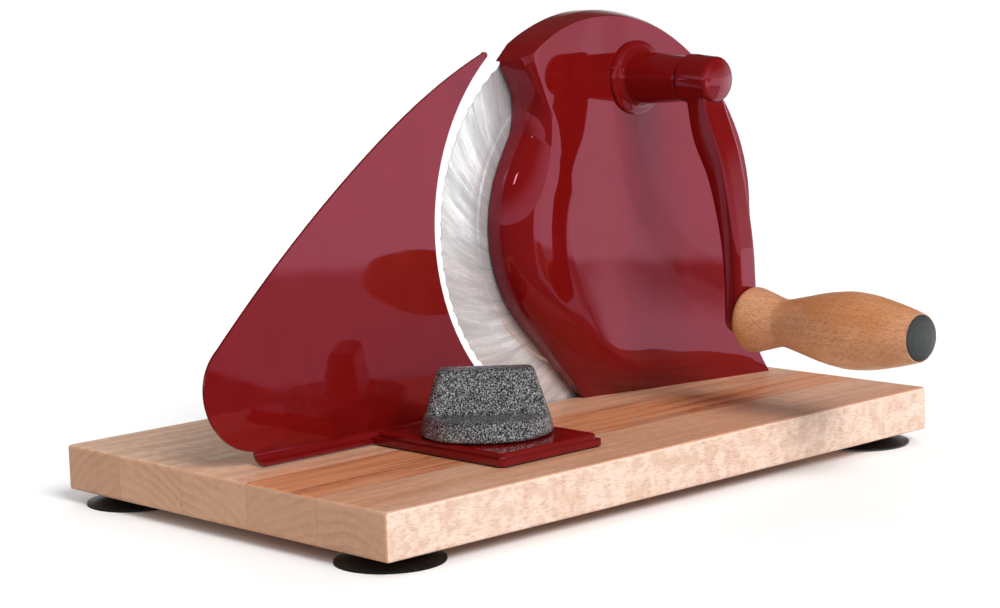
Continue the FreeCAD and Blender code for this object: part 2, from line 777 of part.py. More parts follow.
def cap_seat_y():
    """Floor of the recess at the grip's end, which the spindle's head turns on."""
    return grip_front_y + cap_skirt_depth + spindle_head_height + head_room


def handle_grip():
    """The grip's curve is turned as a row of short cones."""
    curve = spline([V(radius, y, 0) for radius, y in grip_profile()])
    profile = [(p.x, p.y) for p in curve.discretize(grip_rings)]
    grip = turned_y([(0, grip_back_y)] + profile + [(0, grip_front_y)], crank_x, handle_z)
    bore = rod_y(spindle_radius + running_gap, crank_x, handle_z, grip_front_y - 1.0, grip_back_y + 1.0)
    recess = rod_y(cap_skirt_radius + seat_gap, crank_x, handle_z, grip_front_y - 1.0, cap_seat_y())
    return grip.cut(bore).cut(recess)


def handle_spindle():
    seat_y = cap_seat_y() - grip_play
    head = rod_y(spindle_head_radius, crank_x, handle_z, seat_y - spindle_head_height, seat_y)
    shank_end = arm_front_y - handle_washer_thickness
    shank = rod_y(spindle_radius, crank_x, handle_z, seat_y, shank_end)
    stem = rod_y(spindle_stem_radius, crank_x, handle_z, shank_end, arm_front_y + arm_thickness - 1.2)
    slot = Part.makeBox(2.0 * spindle_head_radius, 1.2, 1.2,
                        V(crank_x - spindle_head_radius, seat_y - spindle_head_height - 0.1, handle_z - 0.6))
    return shank.fuse([head, stem]).cut(slot)


def handle_washer():
    return tube_y(handle_washer_radius, spindle_stem_radius + seat_gap, crank_x, handle_z,
                  arm_front_y - handle_washer_thickness, arm_front_y)


def handle_end_cap():
    """Domed push-in cap; its skirt is hollow over the spindle's head."""
    y = grip_front_y
    tail = y + cap_skirt_depth
    inner = cap_skirt_radius - cap_wall
    dome = [(cap_radius * sin(radians(a)), y - cap_dome * cos(radians(a))) for a in cap_dome_angles]
    skirt = [(cap_skirt_radius, y), (cap_skirt_radius, tail), (inner, tail), (inner, y),
             (0, y - cap_dome + cap_wall)]
    return turned_y(dome + skirt, crank_x, handle_z)


# ---------------------------------------------------------------- stop plate
plate_tip = (-7.6, 192.6)
plate_tip_angle = 131.2
plate_slope = [(-35.6, 179.4), (-89.0, 144.4), (-140.1, 101.9), (-168.2, 74.7)]
plate_heel = [(-168.2, 74.7), (-176.7, 57.0), (-171.5, 40.0), (-151.0, 27.6)]


def plate_sheet():
    """Upright sheet: long sloping edge, rounded heel and a hollow edge concentric with the blade."""
    arc_radius = blade_radius + plate_gap
    arc_z = blade_z + plate_arc_lift
    low_z = foot_mid_z + bend_radius - 1.0
    at = lambda p: V(p[0], plate_back_y, p[1])
    polar = lambda angle: V(blade_x + arc_radius * cos(angle), plate_back_y, arc_z + arc_radius * sin(angle))
    top_angle = radians(plate_tip_angle)
    low_angle = pi + atan2(arc_z - low_z, sqrt(arc_radius ** 2 - (arc_z - low_z) ** 2))
    tip_front = polar(top_angle)
    nose = Part.Arc(tip_front, V(tip_front.x + 0.7, plate_back_y, tip_front.z + 1.8), at(plate_tip)).toShape()
    slope = spline([at(plate_tip)] + [at(p) for p in plate_slope])
    heel = spline([at(p) for p in plate_heel])
    heel_end = at(plate_heel[-1])
    corner = V(polar(low_angle).x, plate_back_y, low_z)
    low_left = V(heel_end.x, plate_back_y, low_z)
    hollow = Part.Arc(polar(low_angle), polar((low_angle + top_angle) / 2.0), tip_front).toShape()
    wire = Part.Wire([hollow, nose, slope, heel, line(heel_end, low_left), line(low_left, corner)])
    return Part.Face(wire).extrude(V(0, plate_thickness, 0))


def plate_bend():
    """Rounded bend from the upright sheet to the flange, drawn in YZ and extruded along X."""
    x = flange_left_x
    inner = bend_radius - plate_thickness
    centre_y = plate_face_y - bend_radius
    centre_z = foot_low_z + bend_radius
    at = lambda y, z: V(x, y, z)
    diagonal = sqrt(0.5)
    outer_arc = Part.Arc(at(plate_face_y, centre_z), at(centre_y + bend_radius * diagonal,
                         centre_z - bend_radius * diagonal), at(centre_y, foot_low_z)).toShape()
    inner_arc = Part.Arc(at(centre_y, foot_low_z + plate_thickness), at(centre_y + inner * diagonal,
                         centre_z - inner * diagonal), at(plate_back_y, centre_z)).toShape()
    rise = foot_mid_z + bend_radius
    front_y = plate_face_y - flange_reach
    edges = [line(at(plate_face_y, rise), at(plate_face_y, centre_z)), outer_arc,
             line(at(centre_y, foot_low_z), at(front_y, foot_low_z)),
             line(at(front_y, foot_low_z), at(front_y, foot_low_z + plate_thickness)),
             line(at(front_y, foot_low_z + plate_thickness), at(centre_y, foot_low_z + plate_thickness)),
             inner_arc, line(at(plate_back_y, centre_z), at(plate_back_y, rise)),
             line(at(plate_back_y, rise), at(plate_face_y, rise))]
    return Part.Face(Part.Wire(edges)).extrude(V(flange_right_x - flange_left_x, 0, 0))


def slide_slot(z_from, z_to):
    """Slot over the fixed key: as long as the key plus the plate's travel both ways."""
    gap = key_play
    y_back = knob_y + key_length / 2.0 + plate_travel_out + gap
    y_front = knob_y - key_length / 2.0 - plate_travel_in - gap
    half = key_width / 2.0 + gap
    return Part.makeBox(2.0 * half, y_back - y_front, z_to - z_from, V(knob_x - half, y_front, z_from))


def stop_plate():
    flange_front_y = plate_face_y - flange_reach
    join_y = flange_front_y + 3.0
    base = rounded_box(foot_left_x, foot_right_x, foot_front_y, join_y, foot_low_z, foot_mid_z,
                       foot_corner_radius)
    inset = foot_step
    pad = rounded_box(foot_left_x + inset, foot_right_x - inset, foot_front_y + inset, join_y - inset - 1.0,
                      foot_mid_z - 0.5, foot_top_z, foot_corner_radius - 1.0)
    rim = [e for e in pad.Edges if e.BoundBox.ZMin > foot_top_z - 0.01]
    pad = pad.makeChamfer(foot_edge_break, rim)
    plate = plate_sheet().fuse([plate_bend(), base, pad]).removeSplitter()
    return plate.cut(slide_slot(foot_low_z - 1.0, foot_top_z + 1.0))


def glide_pad():
    pad = rounded_box(foot_left_x + glide_inset, foot_right_x - glide_inset, foot_front_y + glide_inset,
                      plate_face_y - flange_reach, top_z, foot_low_z, foot_corner_radius - glide_inset)
    return pad.cut(slide_slot(top_z - 1.0, foot_low_z + 1.0))


def slide_key():
    """Flat-sided block screwed down with the stud: the plate slides along it without turning."""
    height = foot_top_z - top_z - key_play
    block = Part.makeBox(key_width, key_length, height,
                         V(knob_x - key_width / 2.0, knob_y - key_length / 2.0, top_z))
    return block.cut(rod_z(stud_radius + seat_gap, knob_x, knob_y, top_z - 1.0, top_z + height + 1.0))


# ---------------------------------------------------------------- clamp
def board_insert():
    low = top_z - board_insert_length
    body = rod_z(stud_radius + insert_wall, knob_x, knob_y, low, top_z)
    return body.cut(rod_z(stud_radius + seat_gap, knob_x, knob_y, top_z - stud_depth - 0.5, top_z + 1.0))


def clamp_stud():
    high = foot_top_z + knob_washer_thickness + stud_reach
    return rod_z(stud_radius, knob_x, knob_y, top_z - stud_depth, high)


def wing_block(low_z, high_z):
    """Tapered grip: four sloping flats with rounded corners and a rounded top edge."""
    half_base = (wing_length_base / 2.0, wing_width_base / 2.0)
    half_top = (wing_length_top / 2.0, wing_width_top / 2.0)
    block = Part.makeWedge(-half_base[0], 0, -half_base[1], -half_top[1], -half_top[0],
                           half_base[0], high_z - low_z, half_base[1], half_top[1], half_top[0])
    block.rotate(V(0, 0, 0), V(1, 0, 0), 90)
    block.translate(V(0, 0, low_z))
    slanted = [e for e in block.Edges if e.BoundBox.ZLength > 1.0]
    block = block.makeFillet(wing_corner_radius, slanted)
    crown = [e for e in block.Edges if e.BoundBox.ZMin > high_z - 0.01]
    block = block.makeFillet(wing_rounding, crown)
    block.rotate(V(0, 0, 0), V(0, 0, 1), wing_angle)
    block.translate(V(knob_x, knob_y, 0))
    return block


def clamp_knob():
    low = foot_top_z + 0.3
    ledge = low + knob_skirt_height
    profile = [(0, low), (knob_radius - 0.6, low), (knob_radius, low + 0.8),
               (knob_radius - knob_skirt_draft, ledge - 0.8), (knob_radius - knob_skirt_draft - 1.0, ledge),
               (0, ledge)]
    knob = turned_z(profile, knob_x, knob_y)
    knob = knob.fuse(wing_block(ledge - 1.5, low + knob_height)).removeSplitter()
    recess_top = foot_top_z + knob_washer_thickness + washer_gap
    knob = knob.cut(rod_z(knob_washer_radius + 0.3, knob_x, knob_y, low - 1.0, recess_top))
    return knob.cut(rod_z(stud_radius + insert_wall + seat_gap, knob_x, knob_y, low - 1.0,
                          recess_top + insert_length))


def knob_insert():
    low = foot_top_z + knob_washer_thickness + washer_gap
    return rod_z(stud_radius + insert_wall, knob_x, knob_y, low, low + insert_length - seat_gap).cut(
        rod_z(stud_radius + running_gap, knob_x, knob_y, low - 1.0, low + stud_reach + 0.6))


def knob_washer():
    high = foot_top_z + knob_washer_thickness
    ring = rod_z(knob_washer_radius, knob_x, knob_y, foot_top_z, high)
    return ring.cut(rod_z(stud_radius + running_gap, knob_x, knob_y, foot_top_z - 1.0, high + 1.0))


# ---------------------------------------------------------------- write the nodes
def main():
    os.makedirs("parts", exist_ok=True)
    save("base_board", [base_board()])
    save("suction_cups", [suction_cup(x, y) for x, y in cup_places()])
    save("cup_screws", [cup_screw(x, y) for x, y in cup_places()])
    save("gear_housing", [gear_housing()])
    save("housing_screws", [housing_screw(x, y) for x, y in housing_screw_places()])
    save("blade_axle", [blade_axle()])
    save("blade_washer", [blade_washer()])
    save("blade_screw", [blade_screw()])
    save("blade_disc", [blade_disc()])
    save("blade_gear", [blade_gear()])
    save("gear_screws", [gear_screw(x, z) for x, z in gear_screw_places()])
    save("hub_bush", [hub_bush()])
    save("shaft_bush", [shaft_bush()])
    save("crank_shaft", [crank_shaft()])
    save("drive_pinion", [drive_pinion()])
    save("retaining_ring", [retaining_ring()])
    save("shaft_washer", [shaft_washer()])
    save("crank_arm", [crank_arm()])
    save("hub_set_screw", [hub_set_screw()])
    save("handle_spindle", [handle_spindle()])
    save("handle_washer", [handle_washer()])
    save("handle_grip", [handle_grip()])
    save("handle_end_cap", [handle_end_cap()])
    save("stop_plate", [stop_plate()])
    save("glide_pad", [glide_pad()])
    save("slide_key", [slide_key()])
    save("board_insert", [board_insert()])
    save("clamp_stud", [clamp_stud()])
    save("clamp_knob", [clamp_knob()])
    save("knob_insert", [knob_insert()])
    save("knob_washer", [knob_washer()])


main()
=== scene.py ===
from math import cos, pi, radians, sin
import bpy
import bmesh
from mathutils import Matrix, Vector


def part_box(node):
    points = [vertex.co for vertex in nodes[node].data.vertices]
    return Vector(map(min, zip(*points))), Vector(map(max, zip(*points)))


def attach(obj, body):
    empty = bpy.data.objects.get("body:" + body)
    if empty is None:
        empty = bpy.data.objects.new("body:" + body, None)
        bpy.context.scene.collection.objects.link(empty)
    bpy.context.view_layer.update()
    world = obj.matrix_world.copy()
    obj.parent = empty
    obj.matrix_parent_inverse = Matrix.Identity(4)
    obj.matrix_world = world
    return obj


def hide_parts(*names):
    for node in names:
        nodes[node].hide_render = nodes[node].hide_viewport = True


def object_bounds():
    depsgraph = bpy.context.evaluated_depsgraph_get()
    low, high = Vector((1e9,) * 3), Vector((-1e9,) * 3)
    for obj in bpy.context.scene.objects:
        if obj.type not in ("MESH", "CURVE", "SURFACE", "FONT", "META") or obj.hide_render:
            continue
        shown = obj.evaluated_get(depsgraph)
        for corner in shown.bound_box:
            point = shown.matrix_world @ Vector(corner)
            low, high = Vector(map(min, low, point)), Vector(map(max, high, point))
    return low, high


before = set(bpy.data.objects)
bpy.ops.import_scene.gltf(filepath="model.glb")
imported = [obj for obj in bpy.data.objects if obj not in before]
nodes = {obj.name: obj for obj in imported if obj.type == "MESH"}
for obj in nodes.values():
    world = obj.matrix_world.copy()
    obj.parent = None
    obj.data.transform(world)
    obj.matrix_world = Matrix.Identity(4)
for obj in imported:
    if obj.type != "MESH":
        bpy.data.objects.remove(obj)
cadLow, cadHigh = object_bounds()
floorZ = cadLow.z
print("frame loaded with", len(nodes), "nodes")


# small helpers for node trees
def addNode(tree, kind, values=None, **settings):
    node = tree.nodes.new(kind)
    for name, value in settings.items():
        setattr(node, name, value)
    for name, value in (values or {}).items():
        plug(tree, node.inputs[name], value)
    return node


def plug(tree, socket, value):
    if isinstance(value, bpy.types.NodeSocket):
        tree.links.new(value, socket)
    else:
        socket.default_value = value


def calc(tree, operation, first, second=0.0, third=0.0, clamp=False):
    node = addNode(tree, "ShaderNodeMath", operation=operation, use_clamp=clamp)
    for socket, value in zip(node.inputs, (first, second, third)):
        plug(tree, socket, value)
    return node.outputs[0]


def times(tree, first, second):
    return calc(tree, "MULTIPLY", first, second)


def flatLength(tree, first, second):
    return calc(tree, "SQRT", calc(tree, "ADD", times(tree, first, first), times(tree, second, second)))


def vectorCalc(tree, operation, first, second=(0.0, 0.0, 0.0)):
    node = addNode(tree, "ShaderNodeVectorMath", operation=operation)
    plug(tree, node.inputs[0], first)
    plug(tree, node.inputs[1], second)
    return node.outputs["Vector"]


def mixColors(tree, share, first, second, blend="MIX"):
    # a mix node has a set of sockets for each kind of data; these are the ones for colours
    node = addNode(tree, "ShaderNodeMix", data_type="RGBA", blend_type=blend)
    plug(tree, node.inputs[0], share)
    plug(tree, node.inputs[6], first)
    plug(tree, node.inputs[7], second)
    return node.outputs[2]


def fade(tree, value, low, high, toLow=0.0, toHigh=1.0):
    names = {"Value": value, "From Min": low, "From Max": high, "To Min": toLow, "To Max": toHigh}
    return addNode(tree, "ShaderNodeMapRange", names, interpolation_type="SMOOTHSTEP").outputs[0]


def noise(tree, place, scale, detail=2.0, rough=0.5, distortion=0.0):
    names = {"Vector": place, "Scale": scale, "Detail": detail, "Roughness": rough, "Distortion": distortion}
    return addNode(tree, "ShaderNodeTexNoise", names).outputs["Fac"]


def longNoise(tree, place, scales, detail=2.0, rough=0.5, distortion=0.0):
    # noise with a scale of its own along each axis
    return noise(tree, vectorCalc(tree, "MULTIPLY", place, scales), 1.0, detail, rough, distortion)


def split(tree, vector):
    return addNode(tree, "ShaderNodeSeparateXYZ", {"Vector": vector}).outputs


def combine(tree, x, y, z):
    return addNode(tree, "ShaderNodeCombineXYZ", {"X": x, "Y": y, "Z": z}).outputs[0]


def bump(tree, height, distance, strength=1.0):
    values = {"Height": height, "Distance": distance, "Strength": strength}
    return addNode(tree, "ShaderNodeBump", values).outputs[0]


def newGroup(name, inputs, outputs):
    tree = bpy.data.node_groups.new(name, "ShaderNodeTree")
    for label, kind, value in inputs:
        socket = tree.interface.new_socket(label, in_out="INPUT", socket_type="NodeSocket" + kind)
        socket.default_value = value
    for label, kind in outputs:
        tree.interface.new_socket(label, in_out="OUTPUT", socket_type="NodeSocket" + kind)
    return tree, tree.nodes.new("NodeGroupInput").outputs, tree.nodes.new("NodeGroupOutput").inputs


def useGroup(tree, group, values):
    node = tree.nodes.new("ShaderNodeGroup")
    node.node_tree = group
    for name, value in values.items():
        plug(tree, node.inputs[name], value)
    return node.outputs


def newMaterial(name, plain):
    material = bpy.data.materials.get(name) or bpy.data.materials.new(name)
    material.use_nodes = True
    tree = material.node_tree
    tree.nodes.clear()
    surface = addNode(tree, "ShaderNodeBsdfPrincipled")
    addNode(tree, "ShaderNodeOutputMaterial", {"Surface": surface.outputs[0]})
    for socket, value in plain.items():
        surface.inputs[socket].default_value = value
    place = addNode(tree, "ShaderNodeTexCoord").outputs["Object"]
    return material, tree, surface.inputs, place


# camera
view = {"place": (-0.8138187, -0.8652162, 0.2447552), "turn": (81.831419, 1.890458, -43.377751),
        "lens": 91.376, "sensor": 36.0}


def makeCamera():
    data = bpy.data.cameras.new("camera")
    data.lens = view["lens"]
    data.sensor_width = view["sensor"]
    camera = bpy.data.objects.new("camera", data)
    camera.location = view["place"]
    camera.rotation_euler = [radians(angle) for angle in view["turn"]]
    bpy.context.scene.collection.objects.link(camera)
    bpy.context.scene.camera = camera
    bpy.context.scene.view_settings.view_transform = "Standard"


makeCamera()
print("camera placed")

# studio: an even floor, one wide sun, two small lamps, and darker surroundings that only gloss sees
studio = {"floorSize": 80.0, "floorColor": (0.97, 0.97, 0.97, 1.0), "floorShade": (0.96, 0.96, 0.96, 1.0),
          "shadeScale": 3.0, "floorRough": 0.9, "ambient": 0.50, "gloom": 0.10, "skyTop": 0.06, "skyLow": 0.9,
          "skyHeights": (0.02, 0.40), "nearSteps": (0.24, 0.30, 0.74, 0.84), "halfLight": 0.36, "shine": 1.55}
# sectors of the floor that look bright in a gloss, and one dark band in them: middle, half width and edge
# in degrees, then strength
sectors = [(62.0, 45.0, 5.0, 0.6), (-24.0, 17.0, 5.0, 0.9)]
frontSector = (-48.0, 27.0, 2.0, 1.0)
bandSector = (-45.4, 0.6, 0.4, 0.20)
sun = {"place": (0.0, 0.0, 2.0), "turn": (51.0, 5.0, -14.0), "spread": 30.0, "power": 2.75}
lamps = {
    "leftLamp": {"place": (-1.20, -0.75, 0.95), "aim": (0.0, 0.0, 0.12), "size": (0.16, 0.16), "power": 0.9,
                 "inGloss": True},
    "backLamp": {"place": (0.70, 1.10, 0.90), "aim": (0.0, 0.0, 0.10), "size": (0.60, 0.40), "power": 3.0,
                 "inGloss": False},
}


def sectorMask(tree, angle, sector):
    middle, half, edge, strength = sector
    away = calc(tree, "ABSOLUTE", calc(tree, "WRAP", calc(tree, "SUBTRACT", angle, middle), 180.0, -180.0))
    return fade(tree, away, half + edge, half, 0.0, strength)


def floorGlow(tree, place):
    axes = split(tree, place)
    angle = calc(tree, "DEGREES", calc(tree, "ARCTAN2", axes[1], axes[0]))
    distance = flatLength(tree, axes[0], axes[1])
    steps = studio["nearSteps"]
    near = calc(tree, "ADD", fade(tree, distance, *steps[:2], 0.0, studio["halfLight"]),
                fade(tree, distance, *steps[2:], 0.0, 1.0 - studio["halfLight"]))
    bright = times(tree, sectorMask(tree, angle, frontSector), near)
    for sector in sectors:
        bright = calc(tree, "MAXIMUM", bright, sectorMask(tree, angle, sector))
    bright = calc(tree, "SUBTRACT", bright, sectorMask(tree, angle, bandSector), clamp=True)
    return calc(tree, "MAXIMUM", times(tree, bright, studio["shine"]), studio["gloom"])


def makeFloor():
    half = studio["floorSize"] / 2.0
    mesh = bpy.data.meshes.new("floor")
    corners = [(-half, -half, floorZ), (half, -half, floorZ), (half, half, floorZ), (-half, half, floorZ)]
    mesh.from_pydata(corners, [], [(0, 1, 2, 3)])
    floor = bpy.data.objects.new("floor", mesh)
    bpy.context.scene.collection.objects.link(floor)
    plain = {"Roughness": studio["floorRough"], "Specular IOR Level": 0.0}
    material, tree, surface, place = newMaterial("floorPaper", plain)
    tint = noise(tree, place, studio["shadeScale"], 3.0)
    plug(tree, surface["Base Color"], mixColors(tree, tint, studio["floorColor"], studio["floorShade"]))
    shine = addNode(tree, "ShaderNodeEmission", {"Strength": floorGlow(tree, place)})
    ray = addNode(tree, "ShaderNodeLightPath").outputs
    paper = addNode(tree, "ShaderNodeMixShader", {"Fac": ray["Is Glossy Ray"]})
    plug(tree, paper.inputs[1], tree.nodes["Principled BSDF"].outputs[0])
    plug(tree, paper.inputs[2], shine.outputs[0])
    plug(tree, tree.nodes["Material Output"].inputs["Surface"], paper.outputs[0])
    floor.data.materials.append(material)


def addLamp(name, data, place, turn):
    thing = bpy.data.objects.new(name, data)
    thing.location = place
    thing.rotation_euler = turn
    bpy.context.scene.collection.objects.link(thing)
    return thing


def makeLamps():
    data = bpy.data.lights.new("sun", "SUN")
    data.energy = sun["power"]
    data.angle = radians(sun["spread"])
    addLamp("sun", data, sun["place"], [radians(angle) for angle in sun["turn"]]).visible_glossy = False
    for name, lamp in lamps.items():
        data = bpy.data.lights.new(name, "AREA")
        data.shape = "RECTANGLE"
        data.size, data.size_y = lamp["size"]
        data.energy = lamp["power"]
        toward = Vector(lamp["aim"]) - Vector(lamp["place"])
        thing = addLamp(name, data, lamp["place"], toward.to_track_quat("-Z", "Y").to_euler())
        thing.visible_glossy = lamp["inGloss"]


def makeWorld():
    world = bpy.data.worlds.new("studioWorld")
    bpy.context.scene.world = world
    world.use_nodes = True
    tree = world.node_tree
    tree.nodes.clear()
    ray = addNode(tree, "ShaderNodeLightPath").outputs
    height = split(tree, addNode(tree, "ShaderNodeTexCoord").outputs["Generated"])[2]
    glossy = fade(tree, height, *studio["skyHeights"], studio["skyLow"], studio["skyTop"])
    more = calc(tree, "SUBTRACT", glossy, studio["ambient"])
    strength = calc(tree, "MULTIPLY_ADD", ray["Is Glossy Ray"], more, studio["ambient"])
    strength = calc(tree, "MAXIMUM", strength, ray["Is Camera Ray"])
    strength = calc(tree, "MAXIMUM", strength, ray["Is Transmission Ray"])
    shade = addNode(tree, "ShaderNodeBackground", {"Strength": strength, "Color": (1.0, 1.0, 1.0, 1.0)})
    addNode(tree, "ShaderNodeOutputWorld", {"Surface": shade.outputs[0]})


makeFloor()
makeLamps()
makeWorld()
print("studio lit")

# shared effects
wearLimits = {"sharp": (0.52, 0.60), "broken": (0.35, 0.65)}


def makeEdgeWear():
    tree, given, out = newGroup("edgeWear", [("Amount", "Float", 1.0), ("Break Up", "Float", 300.0)],
                                [("Mask", "Float")])
    sharp = addNode(tree, "ShaderNodeNewGeometry").outputs["Pointiness"]
    edge = fade(tree, sharp, *wearLimits["sharp"])
    place = addNode(tree, "ShaderNodeTexCoord").outputs["Object"]
    broken = fade(tree, noise(tree, place, given["Break Up"], 3.0), *wearLimits["broken"])
    plug(tree, out["Mask"], times(tree, times(tree, edge, broken), given["Amount"]))
    return tree


def makeSurfaceWave():
    tree, given, out = newGroup("surfaceWave", [
        ("Vector", "Vector", (0.0, 0.0, 0.0)), ("Scale", "Float", 200.0),
        ("Fine Scale", "Float", 900.0), ("Fine Share", "Float", 0.2)],
        [("Height", "Float"), ("Mask", "Float")])
    broad = noise(tree, given["Vector"], given["Scale"], 1.0)
    fine = noise(tree, given["Vector"], given["Fine Scale"], 2.0)
    plug(tree, out["Height"], calc(tree, "MULTIPLY_ADD", fine, given["Fine Share"], broad))
    plug(tree, out["Mask"], fade(tree, broad, 0.3, 0.7))
    return tree


# noise scales along the grain and across it, and where a growth ring darkens and ends
grainForm = {"slow": (5.0, 28.0, 28.0), "line": (22.0, 900.0, 900.0), "dash": (170.0, 900.0, 900.0),
             "cloud": (7.0, 30.0, 30.0), "seedStep": 3.7, "ringRise": (0.25, 0.93), "ringFall": (1.0, 0.93),
             "fleck": (0.60, 0.70)}


def makeBeechGrain():
    # grain runs along X of the vector that comes in; rings turn about the given heart line
    tree, given, out = newGroup("beechGrain", [
        ("Vector", "Vector", (0.0, 0.0, 0.0)), ("Heart", "Vector", (0.0, 0.0, -0.06)),
        ("Rings", "Float", 260.0), ("Wander", "Float", 1.6), ("Seed", "Float", 0.0)],
        [("Ring", "Float"), ("Line", "Float"), ("Fleck", "Float"), ("Cloud", "Float")])
    form = grainForm
    shift = combine(tree, times(tree, given["Seed"], form["seedStep"]), given["Seed"], 0.0)
    place = vectorCalc(tree, "ADD", given["Vector"], shift)
    offset = split(tree, vectorCalc(tree, "SUBTRACT", given["Vector"], given["Heart"]))
    radius = flatLength(tree, offset[1], offset[2])
    slow = times(tree, longNoise(tree, place, form["slow"]), given["Wander"])
    saw = calc(tree, "FRACT", calc(tree, "MULTIPLY_ADD", radius, given["Rings"], slow))
    rise = fade(tree, saw, *form["ringRise"])
    plug(tree, out["Ring"], times(tree, rise, fade(tree, saw, *form["ringFall"])))
    plug(tree, out["Line"], longNoise(tree, place, form["line"], 3.0, 0.6))
    dash = longNoise(tree, place, form["dash"], 1.0, 0.4, 0.3)
    plug(tree, out["Fleck"], fade(tree, dash, *form["fleck"]))
    plug(tree, out["Cloud"], longNoise(tree, place, form["cloud"]))
    return tree


def makeSpeckle():
    tree, given, out = newGroup("speckle", [
        ("Vector", "Vector", (0.0, 0.0, 0.0)), ("Scale", "Float", 900.0),
        ("Low", "Float", 0.4), ("High", "Float", 0.6)],
        [("Mask", "Float"), ("Height", "Float")])
    grain = noise(tree, given["Vector"], given["Scale"], 2.0, 0.6, 0.4)
    plug(tree, out["Mask"], fade(tree, grain, given["Low"], given["High"]))
    plug(tree, out["Height"], grain)
    return tree


def dots(tree, place, scale, low, high):
    return useGroup(tree, speckle, {"Vector": place, "Scale": scale, "Low": low, "High": high})


edgeWear = makeEdgeWear()
surfaceWave = makeSurfaceWave()
beechGrain = makeBeechGrain()
speckle = makeSpeckle()
print("shared effects built")

# materials: colours, then scales (more is finer), fades between two levels, shares, and depths in metres
enamel = {"deep": (0.150, 0.0038, 0.0032, 1.0), "bright": (0.160, 0.0045, 0.0040, 1.0),
          "edge": (0.085, 0.002, 0.002, 1.0), "sheen": (1.0, 0.40, 0.63, 1.0), "ior": 1.7,
          "rough": (0.02, 0.05), "waves": 60.0, "fineWaves": 700.0, "fineShare": 0.004, "waveDepth": 0.000030,
          "wear": 0.5, "wearBreaks": 120.0}


def redEnamel():
    plain = {"IOR": enamel["ior"], "Specular Tint": enamel["sheen"]}
    material, tree, surface, place = newMaterial("redEnamel", plain)
    wave = useGroup(tree, surfaceWave, {"Vector": place, "Scale": enamel["waves"],
                                        "Fine Scale": enamel["fineWaves"], "Fine Share": enamel["fineShare"]})
    color = mixColors(tree, wave["Mask"], enamel["deep"], enamel["bright"])
    wear = useGroup(tree, edgeWear, {"Amount": enamel["wear"], "Break Up": enamel["wearBreaks"]})["Mask"]
    plug(tree, surface["Base Color"], mixColors(tree, wear, color, enamel["edge"]))
    plug(tree, surface["Roughness"], fade(tree, wave["Mask"], 0.0, 1.0, *enamel["rough"]))
    plug(tree, surface["Normal"], bump(tree, wave["Height"], enamel["waveDepth"]))
    return material


# board colours; the front face's colours are paler than the top's partly for its side grain and partly as
# painted light
board = {
    "light": (0.69, 0.46, 0.325, 1.0), "dark": (0.47, 0.245, 0.140, 1.0), "warm": (0.67, 0.245, 0.105, 1.0),
    "warmDark": (0.34, 0.088, 0.030, 1.0), "front": (0.75, 0.575, 0.475, 1.0),
    "frontDark": (0.68, 0.46, 0.34, 1.0), "end": (0.55, 0.31, 0.19, 1.0), "endDark": (0.36, 0.18, 0.10, 1.0),
    "fleck": (0.44, 0.22, 0.13, 1.0), "seam": (0.34, 0.17, 0.09, 1.0), "staveWidth": 0.0465,
    "staveEdge": -0.1145, "heartSpread": 0.07, "heartLow": -0.075, "heartRise": 0.05, "rings": 210.0,
    "wander": 2.6, "seedStep": 1.7, "streaks": (9.0, 190.0, 190.0), "dashes": (210.0, 1300.0, 1300.0),
    "flecks": (300.0, 900.0, 1250.0), "curves": (1.0, 40.0, 60.0), "pores": (1500.0, 0.45, 0.7),
    "facing": (0.6, 0.8), "streakFade": (0.42, 0.66), "cloudFade": (0.24, 0.52), "lineFade": (0.45, 0.75),
    "dashFade": (0.56, 0.66), "fleckFade": (0.55, 0.66), "curveFade": (0.35, 0.65, 0.08, 0.50),
    "endLineFade": (0.5, 0.8), "seamFade": (0.491, 0.499),
    "warmStave": 1.0, "coolStep": 0.52, "ringShare": 0.45, "lineShare": 0.40, "dashShare": 0.45,
    "frontCloudShare": 0.16, "fleckShare": 0.32, "poreShare": 0.40, "endLineShare": 0.3, "seamShare": 0.5,
    "tones": (0.20, 0.90), "wear": 0.4, "wearBreaks": 200.0, "rough": (0.34, 0.55), "seamDepth": 2.0,
    "depth": 0.00004}


def boardTopColor(tree, place, grain, stave):
    # long grain; one stave is the warmest, and the others cool by their distance from it
    away = calc(tree, "ABSOLUTE", calc(tree, "SUBTRACT", stave, board["warmStave"]))
    warmth = calc(tree, "SUBTRACT", 1.0, times(tree, away, board["coolStep"]), clamp=True)
    streak = fade(tree, longNoise(tree, place, board["streaks"], 4.0, 0.6, 0.6), *board["streakFade"])
    color = mixColors(tree, times(tree, grain["Ring"], board["ringShare"]), board["light"], board["dark"])
    redder = mixColors(tree, streak, board["warm"], board["warmDark"])
    warmShare = times(tree, fade(tree, grain["Cloud"], *board["cloudFade"]), warmth)
    color = mixColors(tree, warmShare, color, redder)
    lines = times(tree, fade(tree, grain["Line"], *board["lineFade"]), board["lineShare"])
    color = mixColors(tree, lines, color, board["dark"])
    dash = fade(tree, longNoise(tree, place, board["dashes"], 1.0, 0.4, 0.3), *board["dashFade"])
    return mixColors(tree, times(tree, dash, board["dashShare"]), color, board["fleck"])


# the front face: side grain with short flecks, paler than the top partly as painted light for a front lit
# more than the top
def boardFrontGrainAndLight(tree, place, grain):
    clouds = times(tree, grain["Cloud"], board["frontCloudShare"])
    color = mixColors(tree, clouds, board["front"], board["frontDark"])
    short = fade(tree, longNoise(tree, place, board["flecks"], 0.5, 0.4, 0.5), *board["fleckFade"])
    return mixColors(tree, times(tree, short, board["fleckShare"]), color, board["fleck"])


